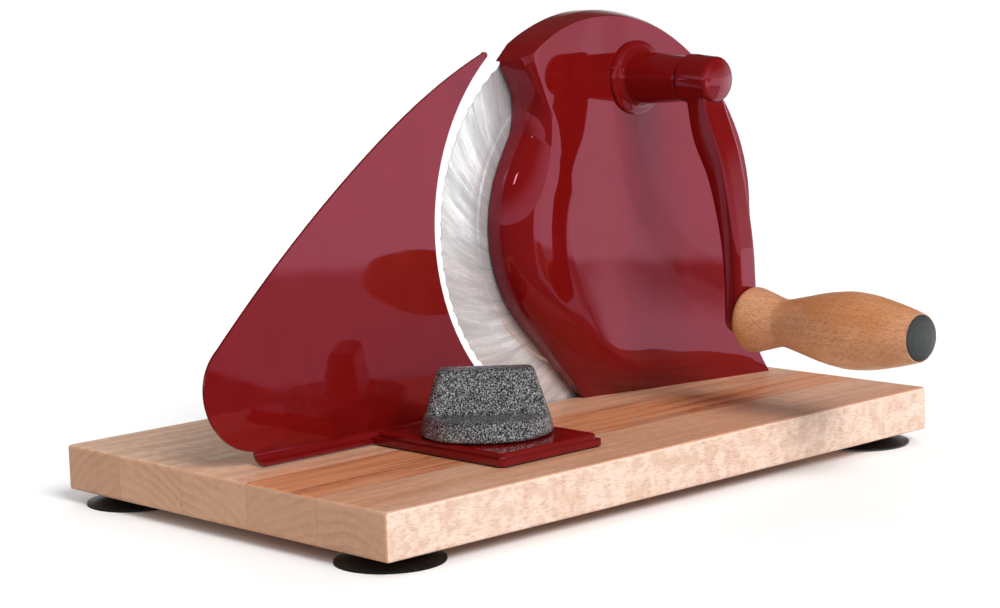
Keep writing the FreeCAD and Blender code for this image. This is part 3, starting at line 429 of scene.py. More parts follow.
def boardEndColor(tree, place, grain):
    pores = dots(tree, place, *board["pores"])
    curved = fade(tree, longNoise(tree, place, board["curves"], 3.0), *board["curveFade"])
    color = mixColors(tree, times(tree, grain["Ring"], curved), board["end"], board["endDark"])
    color = mixColors(tree, times(tree, pores["Mask"], board["poreShare"]), color, board["endDark"])
    lines = times(tree, fade(tree, grain["Line"], *board["endLineFade"]), board["endLineShare"])
    return mixColors(tree, lines, color, board["light"])


def boardBeech():
    material, tree, surface, place = newMaterial("boardBeech", {"IOR": 1.45})
    across = calc(tree, "SUBTRACT", split(tree, place)[1], board["staveEdge"])
    count = calc(tree, "DIVIDE", across, board["staveWidth"])
    stave = calc(tree, "FLOOR", count)
    chance = addNode(tree, "ShaderNodeTexWhiteNoise", {"W": stave}, noise_dimensions="1D").outputs["Color"]
    chance = split(tree, chance)
    middle = calc(tree, "ADD", stave, 0.5)
    middle = calc(tree, "MULTIPLY_ADD", middle, board["staveWidth"], board["staveEdge"])
    heartY = calc(tree, "MULTIPLY_ADD", calc(tree, "SUBTRACT", chance[0], 0.5), board["heartSpread"], middle)
    heartZ = calc(tree, "MULTIPLY_ADD", chance[1], board["heartRise"], board["heartLow"])
    grain = useGroup(tree, beechGrain, {"Vector": place, "Heart": combine(tree, 0.0, heartY, heartZ),
                                        "Rings": board["rings"], "Wander": board["wander"],
                                        "Seed": times(tree, stave, board["seedStep"])})
    facing = split(tree, vectorCalc(tree, "ABSOLUTE", addNode(tree, "ShaderNodeTexCoord").outputs["Normal"]))
    top = boardTopColor(tree, place, grain, stave)
    color = mixColors(tree, fade(tree, facing[0], *board["facing"]), top, boardEndColor(tree, place, grain))
    # the front face takes its own paler colour by facing, partly side grain and partly painted light
    front = boardFrontGrainAndLight(tree, place, grain)
    color = mixColors(tree, fade(tree, facing[1], *board["facing"]), color, front)
    tone = calc(tree, "MULTIPLY_ADD", chance[2], *board["tones"])
    color = mixColors(tree, 1.0, color, combine(tree, tone, tone, tone), "MULTIPLY")
    along = calc(tree, "ABSOLUTE", calc(tree, "SUBTRACT", calc(tree, "FRACT", count), 0.5))
    seam = fade(tree, along, *board["seamFade"])
    color = mixColors(tree, times(tree, seam, board["seamShare"]), color, board["seam"])
    wear = useGroup(tree, edgeWear, {"Amount": board["wear"], "Break Up": board["wearBreaks"]})["Mask"]
    plug(tree, surface["Base Color"], mixColors(tree, wear, color, board["dark"]))
    plug(tree, surface["Roughness"], fade(tree, grain["Line"], 0.2, 0.8, *board["rough"]))
    hollows = calc(tree, "ADD", grain["Fleck"], times(tree, seam, board["seamDepth"]))
    plug(tree, surface["Normal"], bump(tree, calc(tree, "SUBTRACT", grain["Line"], hollows), board["depth"]))
    return material


grip = {"light": (0.60, 0.295, 0.155, 1.0), "warm": (0.50, 0.185, 0.060, 1.0),
        "dark": (0.42, 0.160, 0.065, 1.0), "fleck": (0.29, 0.100, 0.040, 1.0),
        "heart": (0.0, 0.03, -0.02), "rings": 300.0, "wander": 2.2, "seed": 4.0,
        "flecks": (1500.0, 420.0, 1500.0), "patches": (30.0, 22.0, 30.0), "patchFade": (0.42, 0.62),
        "lineFade": (0.45, 0.8), "fleckFade": (0.48, 0.64), "ringShare": 0.22, "patchShare": 0.75,
        "lineShare": 0.4, "fleckShare": 0.45, "rough": (0.30, 0.45), "depth": 0.00003}


def handleBeech():
    material, tree, surface, place = newMaterial("handleBeech", {"IOR": 1.48})
    axes = split(tree, place)
    turned = combine(tree, axes[1], axes[0], axes[2])
    grain = useGroup(tree, beechGrain, {"Vector": turned, "Heart": grip["heart"], "Rings": grip["rings"],
                                        "Wander": grip["wander"], "Seed": grip["seed"]})
    color = mixColors(tree, times(tree, grain["Ring"], grip["ringShare"]), grip["light"], grip["dark"])
    patch = fade(tree, longNoise(tree, place, grip["patches"]), *grip["patchFade"])
    color = mixColors(tree, times(tree, patch, grip["patchShare"]), color, grip["warm"])
    lines = fade(tree, grain["Line"], *grip["lineFade"])
    color = mixColors(tree, times(tree, lines, grip["lineShare"]), color, grip["dark"])
    short = fade(tree, longNoise(tree, place, grip["flecks"], 2.0, 0.5, 0.4), *grip["fleckFade"])
    color = mixColors(tree, times(tree, short, grip["fleckShare"]), color, grip["fleck"])
    plug(tree, surface["Base Color"], color)
    plug(tree, surface["Roughness"], fade(tree, grain["Line"], 0.2, 0.8, *grip["rough"]))
    height = calc(tree, "SUBTRACT", grain["Line"], grain["Fleck"])
    plug(tree, surface["Normal"], bump(tree, height, grip["depth"]))
    return material


knob = {"dark": (0.036, 0.037, 0.039, 1.0), "silver": (0.84, 0.85, 0.87, 1.0), "metal": 0.68,
        "fine": (1450.0, 0.42, 0.70), "broad": (260.0, 0.35, 0.65), "broadShare": (0.30, 0.70),
        "rough": (0.42, 0.30), "depth": 0.00022, "relief": 0.8}


def knobHammertone():
    material, tree, surface, place = newMaterial("knobHammertone", {"Metallic": knob["metal"], "IOR": 1.5})
    fine = dots(tree, place, *knob["fine"])
    broad = calc(tree, "MULTIPLY_ADD", dots(tree, place, *knob["broad"])["Mask"], *knob["broadShare"])
    share = times(tree, broad, fine["Mask"])
    plug(tree, surface["Base Color"], mixColors(tree, share, knob["dark"], knob["silver"]))
    plug(tree, surface["Roughness"], fade(tree, fine["Mask"], 0.0, 1.0, *knob["rough"]))
    plug(tree, surface["Normal"], bump(tree, fine["Height"], knob["depth"], knob["relief"]))
    return material


# the brushed lines swirl about the blade's middle; their scales are about it and outward
steel = {"bright": (0.92, 0.92, 0.93, 1.0), "dull": (0.60, 0.61, 0.63, 1.0), "metal": 0.62, "swirl": 9.0,
         "streaks": (16.0, 30.0), "scratches": (120.0, 80.0), "scratchShare": 0.35, "colorFade": (0.35, 0.65),
         "roughFade": (0.3, 0.7), "rough": (0.22, 0.40), "depth": 0.00006}


def bladeSteel():
    material, tree, surface, place = newMaterial("bladeSteel", {"Metallic": steel["metal"]})
    low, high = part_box("blade_disc")
    offset = split(tree, vectorCalc(tree, "SUBTRACT", place, (low + high) / 2.0))
    radius = flatLength(tree, offset[0], offset[2])
    angle = calc(tree, "ARCTAN2", offset[2], offset[0])
    sweep = calc(tree, "MULTIPLY_ADD", radius, steel["swirl"], angle)

    def brushed(scales, detail):
        about = times(tree, sweep, scales[0])
        outward = times(tree, radius, scales[1])
        return noise(tree, combine(tree, about, outward, 0.0), 1.0, detail, 0.6)

    streak = times(tree, brushed(steel["streaks"], 4.0), 1.0 - steel["scratchShare"])
    share = calc(tree, "MULTIPLY_ADD", brushed(steel["scratches"], 3.0), steel["scratchShare"], streak)
    color = mixColors(tree, fade(tree, share, *steel["colorFade"]), steel["bright"], steel["dull"])
    plug(tree, surface["Base Color"], color)
    plug(tree, surface["Roughness"], fade(tree, share, *steel["roughFade"], *steel["rough"]))
    plug(tree, surface["Normal"], bump(tree, share, steel["depth"]))
    return material


# plain metals: colour, roughness, scale; plain plastics: colour, roughness, scale, depth of their grain
metals = {
    "turnedSteel": ((0.60, 0.60, 0.61), 0.28, 500.0),
    "screwSteel": ((0.45, 0.45, 0.46), 0.30, 700.0),
    "washerChrome": ((0.80, 0.80, 0.81), 0.12, 300.0),
    "bushBrass": ((0.72, 0.47, 0.18), 0.28, 500.0),
}
plastics = {
    "gearPlastic": ((0.75, 0.73, 0.66), 0.40, 900.0, 0.00002),
    "capPlastic": ((0.050, 0.053, 0.055), 0.42, 1400.0, 0.00004),
    "glidePlastic": ((0.03, 0.03, 0.03), 0.45, 900.0, 0.00002),
    "cupRubber": ((0.008, 0.008, 0.009), 0.30, 700.0, 0.00003),
}
plainFinish = {"metalShade": 0.7, "metalRough": 1.5, "metalDepth": 0.00001, "fineTimes": 6.0,
               "fineShare": 0.4, "plasticShade": 0.75, "plasticEdge": 1.5, "plasticRough": 0.12,
               "wear": 0.4, "wearBreaks": 400.0}


def shaded(color, factor):
    return tuple(min(channel * factor, 1.0) for channel in color) + (1.0,)


def plainMetal(name):
    color, rough, scale = metals[name]
    material, tree, surface, place = newMaterial(name, {"Metallic": 1.0})
    fineScale = scale * plainFinish["fineTimes"]
    wave = useGroup(tree, surfaceWave, {"Vector": place, "Scale": scale, "Fine Scale": fineScale,
                                        "Fine Share": plainFinish["fineShare"]})
    color = mixColors(tree, wave["Mask"], shaded(color, 1.0), shaded(color, plainFinish["metalShade"]))
    plug(tree, surface["Base Color"], color)
    roughest = rough * plainFinish["metalRough"]
    plug(tree, surface["Roughness"], fade(tree, wave["Mask"], 0.0, 1.0, rough, roughest))
    plug(tree, surface["Normal"], bump(tree, wave["Height"], plainFinish["metalDepth"]))
    return material


def plainPlastic(name):
    color, rough, scale, depth = plastics[name]
    material, tree, surface, place = newMaterial(name, {"IOR": 1.48})
    grain = dots(tree, place, scale, 0.35, 0.65)
    base = mixColors(tree, grain["Mask"], shaded(color, plainFinish["plasticShade"]), shaded(color, 1.0))
    breaks = plainFinish["wearBreaks"]
    wear = useGroup(tree, edgeWear, {"Amount": plainFinish["wear"], "Break Up": breaks})["Mask"]
    color = mixColors(tree, wear, base, shaded(color, plainFinish["plasticEdge"]))
    plug(tree, surface["Base Color"], color)
    roughest = rough + plainFinish["plasticRough"]
    plug(tree, surface["Roughness"], fade(tree, grain["Mask"], 0.0, 1.0, rough, roughest))
    plug(tree, surface["Normal"], bump(tree, grain["Height"], depth))
    return material


materials = {
    "red_enamel": redEnamel(),
    "board_beech": boardBeech(),
    "handle_beech": handleBeech(),
    "knob_hammertone": knobHammertone(),
    "blade_steel": bladeSteel(),
    "turned_steel": plainMetal("turnedSteel"),
    "screw_steel": plainMetal("screwSteel"),
    "washer_chrome": plainMetal("washerChrome"),
    "bush_brass": plainMetal("bushBrass"),
    "gear_plastic": plainPlastic("gearPlastic"),
    "cap_plastic": plainPlastic("capPlastic"),
    "glide_plastic": plainPlastic("glidePlastic"),
    "cup_rubber": plainPlastic("cupRubber"),
}


def dressNodes():
    for node in nodes.values():
        for index, slot in enumerate(node.material_slots):
            name = slot.material.name.split(".")[0]
            node.data.materials[index] = materials[name]


dressNodes()
print("materials given to the nodes")

faceWeight = 80  # how far large faces lead the shading

# soft edges: a folded plate's small ones, in metres, and a casting's larger ones, by smoothing fine cells
plateEdge = {"width": 0.00035, "rounds": 3, "sharpAngle": 35.0, "weldWithin": 0.00001}
knobCast = {"cell": 0.0009, "steps": 7, "pull": 0.5}


def softenEdges():
    plate = nodes["stop_plate"]
    weld = plate.modifiers.new("weld", "WELD")
    weld.merge_threshold = plateEdge["weldWithin"]
    edges = plate.modifiers.new("softEdges", "BEVEL")
    edges.limit_method = "ANGLE"
    edges.angle_limit = radians(plateEdge["sharpAngle"])
    edges.width = plateEdge["width"]
    edges.segments = plateEdge["rounds"]
    even = plate.modifiers.new("evenShade", "WEIGHTED_NORMAL")
    even.weight = faceWeight
    cells = nodes["clamp_knob"].modifiers.new("cells", "REMESH")
    cells.mode = "VOXEL"
    cells.voxel_size = knobCast["cell"]
    cells.use_smooth_shade = True
    soft = nodes["clamp_knob"].modifiers.new("softCast", "SMOOTH")
    soft.factor = knobCast["pull"]
    soft.iterations = knobCast["steps"]


softenEdges()
print("plate and knob edges softened")

mm = 0.001  # the shapes below are written in millimetres, and angles in degrees
inMm = 1000.0  # turns metres back into millimetres


# small helpers for meshes
def bridge(mesh, first, second):
    count = len(first)
    for index in range(count):
        following = (index + 1) % count
        mesh.faces.new((first[index], first[following], second[following], second[index]))


def closeMesh(mesh, first, last):
    mesh.faces.new(first)
    mesh.faces.new(last)
    bmesh.ops.recalc_face_normals(mesh, faces=mesh.faces)
    return mesh


def circle(x, z, radius, count):
    turns = [2.0 * pi * k / count for k in range(count)]
    return [(x + radius * cos(turn), z + radius * sin(turn)) for turn in turns]


def latheMesh(profile, centre, count=64):
    # turns closed (radius, y) corners about an axis along Y
    mesh = bmesh.new()
    rings = []
    for radius, y in profile:
        if radius < 1e-6:
            rings.append([mesh.verts.new((centre[0] * mm, y * mm, centre[1] * mm))] * count)
        else:
            ring = circle(*centre, radius, count)
            rings.append([mesh.verts.new((x * mm, y * mm, z * mm)) for x, z in ring])
    for first, second in zip(rings, rings[1:] + rings[:1]):
        for k in range(count):
            corners = []
            for vert in (first[k], first[(k + 1) % count], second[(k + 1) % count], second[k]):
                if vert not in corners:
                    corners.append(vert)
            if len(corners) > 2:
                mesh.faces.new(corners)
    bmesh.ops.recalc_face_normals(mesh, faces=mesh.faces)
    return mesh


def prismMesh(corners, frontDepth, backY):
    # corners (x, z) drawn out along Y, from a depth that may change along X to a plain back
    mesh = bmesh.new()
    front = [mesh.verts.new((x * mm, frontDepth(x) * mm, z * mm)) for x, z in corners]
    back = [mesh.verts.new((x * mm, backY * mm, z * mm)) for x, z in corners]
    bridge(mesh, front, back)
    return closeMesh(mesh, front[::-1], back)


def placeMesh(name, mesh):
    data = bpy.data.meshes.new(name)
    mesh.to_mesh(data)
    mesh.free()
    thing = bpy.data.objects.new(name, data)
    bpy.context.scene.collection.objects.link(thing)
    return thing


def newPiece(name, mesh, body, slotName, oldNode):
    piece = placeMesh(name, mesh)
    piece.data.materials.append(materials[slotName])
    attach(piece, body)
    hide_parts(oldNode)
    return piece


def keepForm(target):
    graph = bpy.context.evaluated_depsgraph_get()
    made = bpy.data.meshes.new_from_object(target.evaluated_get(graph))
    target.modifiers.clear()
    old = target.data
    target.data = made
    made.name = target.name
    bpy.data.meshes.remove(old)


def combineForms(target, steps):
    # runs the booleans in order, keeps their result in the target's mesh and drops the helpers
    for operation, tool in steps:
        modifier = target.modifiers.new("form", "BOOLEAN")
        modifier.operation = operation
        modifier.solver = "EXACT"
        modifier.object = tool
    keepForm(target)
    for operation, tool in steps:
        bpy.data.objects.remove(tool)


def smoothShade(piece, sharpAngle):
    piece.data.shade_smooth()
    piece.data.set_sharp_from_angle(angle=radians(sharpAngle))
    weighted = piece.modifiers.new("evenShade", "WEIGHTED_NORMAL")
    weighted.keep_sharp = True
    weighted.weight = faceWeight


def catmull(rows, steps):
    result = []
    last = len(rows) - 1
    for index in range(last):
        before, first, second, after = (rows[max(min(index + shift, last), 0)] for shift in (-1, 0, 1, 2))
        for step in range(steps):
            t = step / steps
            result.append(tuple(
                0.5 * (2.0 * b + (c - a) * t + (2.0 * a - 5.0 * b + 4.0 * c - d) * t * t
                       + (3.0 * b - a - 3.0 * c + d) * t * t * t)
                for a, b, c, d in zip(before, first, second, after)))
    result.append(tuple(rows[-1]))
    return result


# housing: the casting's outline as stations beside the blade, then rings that roll from rim to flat front
housing = {
    "bladeX": 63.8, "bladeZ": 107.8, "bladeRadius": 95.6, "arcRadius": 102.0, "rimY": 2.0, "backY": 9.6,
    "faceLevel": -12.0, "faceBend": 0.00065, "bendStart": 55.0, "boardTop": 21.0, "edgeRadius": 67.0,
    "rollWidth": 17.0, "neckAngle": 150.0, "leaveAngle": 222.9, "crownHollow": 0.35, "turns": 14,
    "softWidth": 0.95, "softDepth": 0.95, "softAngle": 0.131, "borderSteps": 4, "frontSteps": 20,
    "neckSteps": 5, "edgeSteps": 8, "footSteps": 10, "crownSteps": 5, "sideSteps": 6, "lineSteps": 8,
    "crease": 0.9, "creaseAngle": 28.0, "creaseRounds": 3, "weldWithin": 0.02, "sharpAngle": 32.0,
    "pocketRadius": 98.0, "pocketY": 7.4, "pocketSides": 128, "wall": 3.5}
# rim angle, rim extra, face angle, face extra, softness of the roll
beakNeck = [(125.6, 27.7, 122.5, 46.4, 0.1), (127.2, 15.0, 125.5, 28.0, 0.3), (131.0, 7.0, 128.5, 15.0, 0.5),
            (138.0, 1.3, 137.0, 5.0, 0.8)]
beakTip = (124.9, 2.7, 121.6, 3.3)  # rim angle, rim extra, face angle, face extra
# angle, then how far the rim and the face lie inside the arc
crownInsets = [(0.0, 0.0, 11.7), (20.0, 0.0, 11.0), (38.0, 0.0, 9.8), (56.0, 0.0, 7.4), (75.0, 0.0, 4.4),
               (92.0, 0.0, 2.7), (107.0, 0.8, 1.8), (119.0, 1.4, 2.6)]
footPoints = {"back": 53.0, "shift": (16.5, 8.5), "softness": 0.6, "lowShift": 23.2, "runOut": 6.0,
              "reach": 12.0, "middle": 88.0, "half": 28.0, "most": 3.2, "lineX": 60.0, "lineY": 1.5,
              "lineSlope": 0.207}
sidePoints = {"backFoot": 171.0, "frontFoot": 169.0, "backWaist": 163.0, "frontWaist": 157.0, "flare": 24.0,
              "middleUp": 3.0, "backOut": 1.0, "frontOut": 1.5}
# the hollow for the gears, about the blade: angle and radius of its upper wall, then its round lower wall
gearRoom = [(-44.0, 84.0), (0.0, 86.0), (38.0, 87.0), (56.0, 90.5), (75.0, 92.0), (95.0, 92.0), (112.0, 88.0)]
gearRound = {"radius": 56.9, "start": 112.0, "sweep": 204.0, "steps": 30}


def aboutBlade(angle, radius):
    turn = radians(angle)
    return (housing["bladeX"] + radius * cos(turn), housing["bladeZ"] + radius * sin(turn))


def faceY(x):
    return housing["faceLevel"] - housing["faceBend"] * max(x - housing["bendStart"], 0.0) ** 2


def station(rim, face, hollow, soft):
    return (rim[0], rim[1], face[0], face[1], hollow, soft)


def freeEdge():
    rim = housing["edgeRadius"]
    face = rim - housing["rollWidth"]
    rows = [station(aboutBlade(rimAngle, rim + rimExtra), aboutBlade(faceAngle, face + faceExtra), 0.0, soft)
            for rimAngle, rimExtra, faceAngle, faceExtra, soft in beakNeck]
    neck = len(rows)
    count = housing["edgeSteps"]
    for step in range(count + 1):
        angle = housing["neckAngle"] + (housing["leaveAngle"] - housing["neckAngle"]) * step / count
        rows.append(station(aboutBlade(angle, rim), aboutBlade(angle, face), 0.0, 1.0))
    leave = rows[-1]
    foot = footPoints
    middle = ((leave[0] + foot["back"]) / 2.0, (leave[1] + housing["boardTop"]) / 2.0)
    shift = foot["shift"]
    rows.append(station(middle, (middle[0] + shift[0], middle[1] + shift[1]), 0.0, foot["softness"]))
    runOut = foot["runOut"] / (leave[1] - housing["boardTop"])
    below = housing["boardTop"] - foot["runOut"]
    low = foot["back"] + (foot["back"] - leave[0]) * runOut
    rows.append(station((low, below), (low + foot["lowShift"], below), 0.0, 0.0))
    steps = housing["footSteps"]
    smoothNeck = catmull(rows[:neck], housing["neckSteps"])[:-1]
    return smoothNeck + rows[neck - 1:-3] + catmull(rows[-4:], steps)[steps:]


def crown():
    arc = housing["arcRadius"]
    return [station(aboutBlade(angle, arc - rim), aboutBlade(angle, arc - face), housing["crownHollow"], 0.0)
            for angle, rim, face in catmull(crownInsets, housing["crownSteps"])]


def rightSide():
    side = sidePoints
    arc = housing["arcRadius"]
    low = housing["boardTop"] - footPoints["runOut"]
    waist = housing["boardTop"] + side["flare"]
    middle = (low + waist) / 2.0 + side["middleUp"]
    pairs = [((side["backFoot"], low), (side["frontFoot"], low)),
             ((side["backWaist"] + side["backOut"], middle), (side["frontWaist"] + side["frontOut"], middle)),
             ((side["backWaist"], waist), (side["frontWaist"], waist)),
             (aboutBlade(0.0, arc), aboutBlade(0.0, arc - crownInsets[0][2]))]
    rows = [station(rim, face, housing["crownHollow"], 0.0) for rim, face in pairs]
    return catmull(rows, housing["sideSteps"])[:-1]


def footLine(first, last, count):
    return [tuple(a + (b - a) * step / count for a, b in zip(first, last)) for step in range(1, count)]


def outline():
    free = freeEdge()
    side = rightSide()
    radius = housing["bladeRadius"]
    rimAngle, rimExtra, faceAngle, faceExtra = beakTip
    tip = station(aboutBlade(rimAngle, radius + rimExtra), aboutBlade(faceAngle, radius + faceExtra),
                  housing["crownHollow"], 0.0)
    return free + footLine(free[-1], side[0], housing["lineSteps"]) + side + crown() + [tip]


def shellPoint(row, across, depth):
    rimX, rimZ, faceX, faceZ = row[:4]
    x = rimX + (faceX - rimX) * across
    z = rimZ + (faceZ - rimZ) * across
    return Vector((x, housing["rimY"] + (faceY(x) - housing["rimY"]) * depth, z)) * mm


def ringPoint(row, turn):
    # turn runs from 0 on the rim to 1 on the flat front; the roll ends a little early where it is soft
    hollow, soft = row[4:]
    full = pi / 2.0 - soft * housing["softAngle"]
    out = (1.0 - cos(turn * full)) / (1.0 - cos(full))
    forward = sin(turn * full) / sin(full)
    depth = (forward + (out - forward) * hollow) * (1.0 - soft * (1.0 - housing["softDepth"]))
    return shellPoint(row, out + (forward - out) * hollow, depth)


def innerPoint(row, share):
    # past the roll, a soft border comes forward by the last of the front's depth
    soft = row[5]
    depth = 1.0 - soft * (1.0 - housing["softDepth"]) * (1.0 - share) ** 2
    return shellPoint(row, 1.0 + soft * housing["softWidth"] * share, depth)


def footShare(x, z):
    # share of the front's depth near the board: the front turns under to a straight line on the board
    foot = footPoints
    rise = max(z - housing["boardTop"], 0.0)
    beside = max(foot["middle"] - x, 0.0) / foot["half"]
    reach = foot["reach"] * (1.0 + min(beside ** 2, foot["most"]))
    if rise >= reach:
        return 1.0
    line = min(foot["lineY"] - foot["lineSlope"] * (x - foot["lineX"]), foot["lineY"])
    pull = max((line - faceY(x)) / (housing["rimY"] - faceY(x)), 0.0)
    return 1.0 - pull * (1.0 - rise / reach) ** 2


def sweepFoot(mesh):
    rimY = housing["rimY"] * mm
    for vert in mesh.verts:
        if vert.co.y < rimY:
            vert.co.y = rimY + (vert.co.y - rimY) * footShare(vert.co.x * inMm, vert.co.z * inMm)


def shellMesh():
    mesh = bmesh.new()
    rows = outline()
    turns, borderSteps, frontSteps = housing["turns"], housing["borderSteps"], housing["frontSteps"]
    rim = [ringPoint(row, 0.0) for row in rows]
    rings = [[mesh.verts.new((p.x, housing["backY"] * mm, p.z)) for p in rim]]
    for step in range(turns + 1):
        rings.append([mesh.verts.new(ringPoint(row, step / turns)) for row in rows])
    for step in range(1, borderSteps + 1):
        rings.append([mesh.verts.new(innerPoint(row, step / borderSteps)) for row in rows])
    border = [innerPoint(row, 1.0) * inMm for row in rows]
    for step in range(1, frontSteps):
        left = 1.0 - step / frontSteps
        rings.append([])
        for place in border:
            x = housing["bladeX"] + (place.x - housing["bladeX"]) * left
            z = housing["bladeZ"] + (place.z - housing["bladeZ"]) * left
            rings[-1].append(mesh.verts.new((x * mm, faceY(x) * mm, z * mm)))
    for first, second in zip(rings, rings[1:]):
        bridge(mesh, first, second)
    mesh.faces.new(rings[0][::-1])
    mesh.faces.new(rings[-1])
    sweepFoot(mesh)
    bmesh.ops.remove_doubles(mesh, verts=mesh.verts, dist=housing["weldWithin"] * mm)
    everything = mesh.verts[:] + mesh.edges[:] + mesh.faces[:]
    cut = bmesh.ops.bisect_plane(mesh, geom=everything, dist=0.001 * mm, clear_inner=True,
                                 plane_co=(0.0, 0.0, housing["boardTop"] * mm), plane_no=(0.0, 0.0, 1.0))
    edges = [part for part in cut["geom_cut"] if isinstance(part, bmesh.types.BMEdge)]
    bmesh.ops.holes_fill(mesh, edges=edges)
    bmesh.ops.recalc_face_normals(mesh, faces=mesh.faces)
    return mesh


boss = {"x": 80.0, "z": 176.413, "ring": 18.0, "base": 12.7, "tip": 10.4, "tipY": -46.2, "bore": 7.82,
        "rootIn": 0.2, "wallMore": 1.5, "chamfer": 2.0, "hole": 13.0, "holeFront": -30.0, "holeSides": 48}
# the boss's curved foot and tip: radius beyond the named one, and distance toward the front or the back
bossCurves = {"ring": [(0.0, 0.6), (-0.35, 1.2), (-1.1, 1.7), (-2.6, 2.0)],
              "base": [(1.9, 2.25), (0.9, 2.8), (0.3, 3.8), (0.0, 5.0)],
              "tip": [(0.32, 1.2), (0.15, 0.5), (-0.4, 0.0)]}


def bossProfile():
    root = faceY(boss["x"]) - boss["rootIn"]
    inner = faceY(boss["x"]) + housing["wall"] + boss["wallMore"]
    profile = [(boss["bore"], inner), (boss["ring"] - boss["chamfer"], inner),
               (boss["ring"], inner - boss["chamfer"])]
    for part in ("ring", "base"):
        profile += [(boss[part] + more, root - forward) for more, forward in bossCurves[part]]
    profile += [(boss["tip"] + more, boss["tipY"] + back) for more, back in bossCurves["tip"]]
    return profile + [(boss["bore"], boss["tipY"])]


def makeHousing():
    shell = newPiece("gearHousingShell", shellMesh(), "base", "red_enamel", "gear_housing")
    crease = shell.modifiers.new("crease", "BEVEL")
    crease.limit_method = "ANGLE"
    crease.angle_limit = radians(housing["creaseAngle"])
    crease.width = housing["crease"] * mm
    crease.segments = housing["creaseRounds"]
    keepForm(shell)
    past = housing["backY"] + 1.0
    room = [aboutBlade(angle, radius) for angle, radius in gearRoom]
    start, sweep, steps = gearRound["start"], gearRound["sweep"], gearRound["steps"]
    room += [aboutBlade(start + sweep * step / steps, gearRound["radius"]) for step in range(steps + 1)]
    gears = placeMesh("gearRoomForm", prismMesh(room, lambda x: faceY(x) + housing["wall"], past))
    sides = housing["pocketSides"]
    disc = [aboutBlade(360.0 * step / sides, housing["pocketRadius"]) for step in range(sides)]
    pocket = placeMesh("pocketForm", prismMesh(disc, lambda x: housing["pocketY"], past))
    ring = circle(boss["x"], boss["z"], boss["hole"], boss["holeSides"])
    hole = placeMesh("bossForm", prismMesh(ring, lambda x: boss["holeFront"], 0.0))
    lathe = placeMesh("bossLathe", latheMesh(bossProfile(), (boss["x"], boss["z"])))
    cuts = [("DIFFERENCE", form) for form in (gears, pocket, hole)]
    combineForms(shell, cuts + [("UNION", lathe)])
    smoothShade(shell, housing["sharpAngle"])


makeHousing()
print("housing shell built")

arm = {"width": 14.0, "rounding": 3.2, "x": 80.0, "crankZ": 176.413, "handleZ": 64.013, "lowBack": -71.0,
       "lowFront": -81.8, "steps": 9, "cornerSteps": 5, "stemRadius": 3.02, "sharpAngle": 40.0,
       "endAngles": (12.0, 24.0, 36.0, 48.0, 60.0, 70.0, 78.0, 85.0)}
# (y, z) points down the bar's back and down its front
armBack = [(-48.6, 172.4), (-53.6, 148.3), (-62.8, 128.1), (-69.1, 102.2), (-71.0, 82.0), (-71.0, 64.1)]
armFront = [(-64.4, 172.4), (-64.0, 165.4), (-73.8, 139.3), (-80.2, 104.5), (-81.8, 82.0), (-81.8, 64.1)]
hub = {"back": -48.0, "front": -65.6, "backRadius": 12.0, "frontRadius": 10.8, "rim": 2.0, "dome": 1.8,
       "socket": 6.02, "socketEnd": -61.5, "screwIn": 6.2, "screwRadius": 2.52, "screwReach": (5.0, 20.0)}


def barRing(back, front, halfWidth):
    # rounded rectangle across the bar, from its back and front points (y, z)
    middle = Vector(((back[0] + front[0]) / 2.0, (back[1] + front[1]) / 2.0))
    along = Vector((front[0] - back[0], front[1] - back[1]))
    halfDepth = along.length / 2.0
    along.normalize()
    corner = min(arm["rounding"], halfWidth * 0.95, halfDepth * 0.6)
    points = []
    for side, (signX, signD) in enumerate(((1, 1), (-1, 1), (-1, -1), (1, -1))):
        for step in range(arm["cornerSteps"] + 1):
            angle = (side + step / arm["cornerSteps"]) * pi / 2.0
            x = signX * (halfWidth - corner) + corner * cos(angle)
            depth = signD * (halfDepth - corner) + corner * sin(angle)
            place = middle + along * depth
            points.append(((arm["x"] + x) * mm, place.x * mm, place.y * mm))
    return points


def barMesh():
    half = arm["width"] / 2.0
    backs = catmull(armBack, arm["steps"])
    fronts = catmull(armFront, arm["steps"])
    rows = [(back, front, half) for back, front in zip(backs, fronts)]
    for angle in arm["endAngles"]:
        z = arm["handleZ"] - half * sin(radians(angle))
        rows.append(((arm["lowBack"], z), (arm["lowFront"], z), half * cos(radians(angle))))
    mesh = bmesh.new()
    rings = [[mesh.verts.new(place) for place in barRing(*row)] for row in rows]
    for first, second in zip(rings, rings[1:]):
        bridge(mesh, first, second)
    return closeMesh(mesh, rings[0], rings[-1][::-1])


def hubProfile():
    back, front, rim = hub["back"], hub["front"], hub["rim"]
    wide, slim = hub["backRadius"], hub["frontRadius"]
    profile = [(hub["socket"], back), (wide - 1.0, back), (wide - 0.3, back - 0.3), (wide, back - 1.0)]
    profile += [(slim - rim * (1.0 - cos(radians(angle))), front + rim * (1.0 - sin(radians(angle))))
                for angle in (0.0, 18.0, 36.0, 54.0, 72.0, 90.0)]
    for share in (0.8, 0.6, 0.4, 0.2, 0.0):
        profile.append(((slim - rim) * share, front - hub["dome"] * (1.0 - share * share)))
    return profile + [(0.0, hub["socketEnd"]), (hub["socket"], hub["socketEnd"])]


def roundPrism(x, z, radius, frontY, backY, count=40):
    return prismMesh(circle(x, z, radius, count), lambda place: frontY, backY)


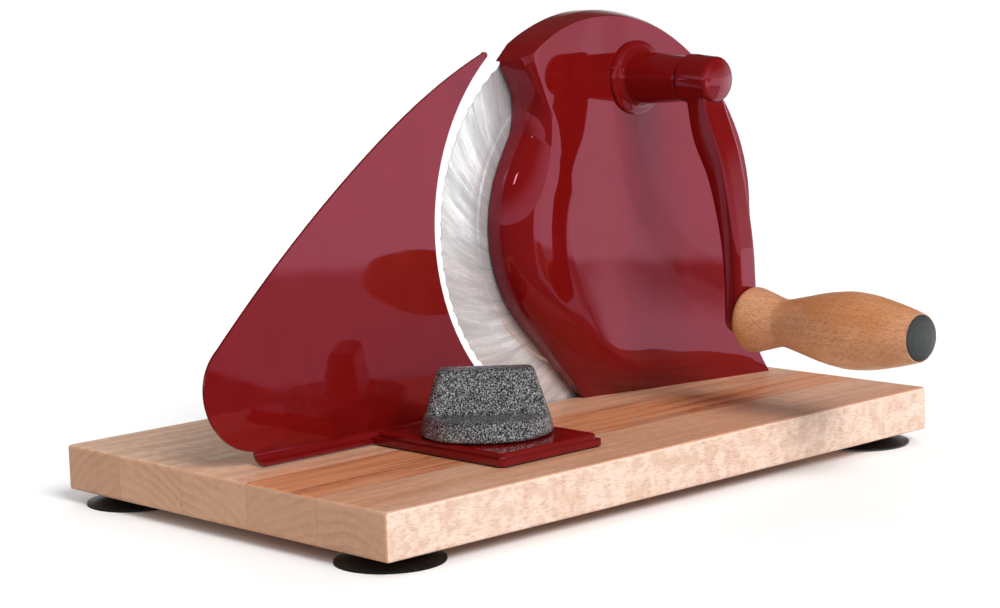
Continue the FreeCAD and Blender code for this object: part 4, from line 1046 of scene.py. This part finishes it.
def uprightPin(x, y, radius, low, high, count=32):
    mesh = bmesh.new()
    ring = circle(x, y, radius, count)
    ends = [[mesh.verts.new((px * mm, py * mm, z * mm)) for px, py in ring] for z in (low, high)]
    bridge(mesh, *ends)
    return closeMesh(mesh, ends[0][::-1], ends[1])


def makeArm():
    piece = newPiece("crankArmCast", barMesh(), "crank", "red_enamel", "crank_arm")
    x, z = arm["x"], arm["crankZ"]
    low, high = hub["screwReach"]
    hubForm = placeMesh("hubForm", latheMesh(hubProfile(), (x, z)))
    socket = placeMesh("socketForm", roundPrism(x, z, hub["socket"], hub["socketEnd"], hub["back"] + 1.0))
    pin = uprightPin(x, hub["back"] - hub["screwIn"], hub["screwRadius"], z + low, z + high)
    screw = placeMesh("screwForm", pin)
    rod = roundPrism(x, arm["handleZ"], arm["stemRadius"], arm["lowFront"] - 1.0, arm["lowBack"] + 1.0)
    stem = placeMesh("stemForm", rod)
    cuts = [("DIFFERENCE", form) for form in (socket, screw, stem)]
    combineForms(piece, [("UNION", hubForm)] + cuts)
    smoothShade(piece, arm["sharpAngle"])


makeArm()
print("crank arm built")

turnedGrip = {"back": -82.9, "length": 99.0, "bore": 3.65, "recess": 8.62, "seat": -173.7, "x": 80.0,
              "z": 64.013, "steps": 5, "sharpAngle": 50.0}
# radius, and place as a share of the length
gripShape = [(13.0, 0.0), (14.7, 0.010), (15.4, 0.036), (14.0, 0.096), (11.6, 0.187), (11.3, 0.237),
             (13.7, 0.354), (16.2, 0.47), (17.5, 0.57), (17.8, 0.626), (17.4, 0.70), (16.2, 0.783),
             (13.4, 0.914), (11.0, 1.0)]


def makeGrip():
    shape = turnedGrip
    front = shape["back"] - shape["length"]
    curve = catmull(gripShape, shape["steps"])
    profile = [(shape["bore"], shape["back"])]
    profile += [(radius, shape["back"] - share * shape["length"]) for radius, share in curve]
    profile += [(shape["recess"], front), (shape["recess"], shape["seat"]), (shape["bore"], shape["seat"])]
    mesh = latheMesh(profile, (shape["x"], shape["z"]))
    piece = newPiece("handleGripTurned", mesh, "handle", "handle_beech", "handle_grip")
    smoothShade(piece, shape["sharpAngle"])


makeGrip()
print("grip turned")
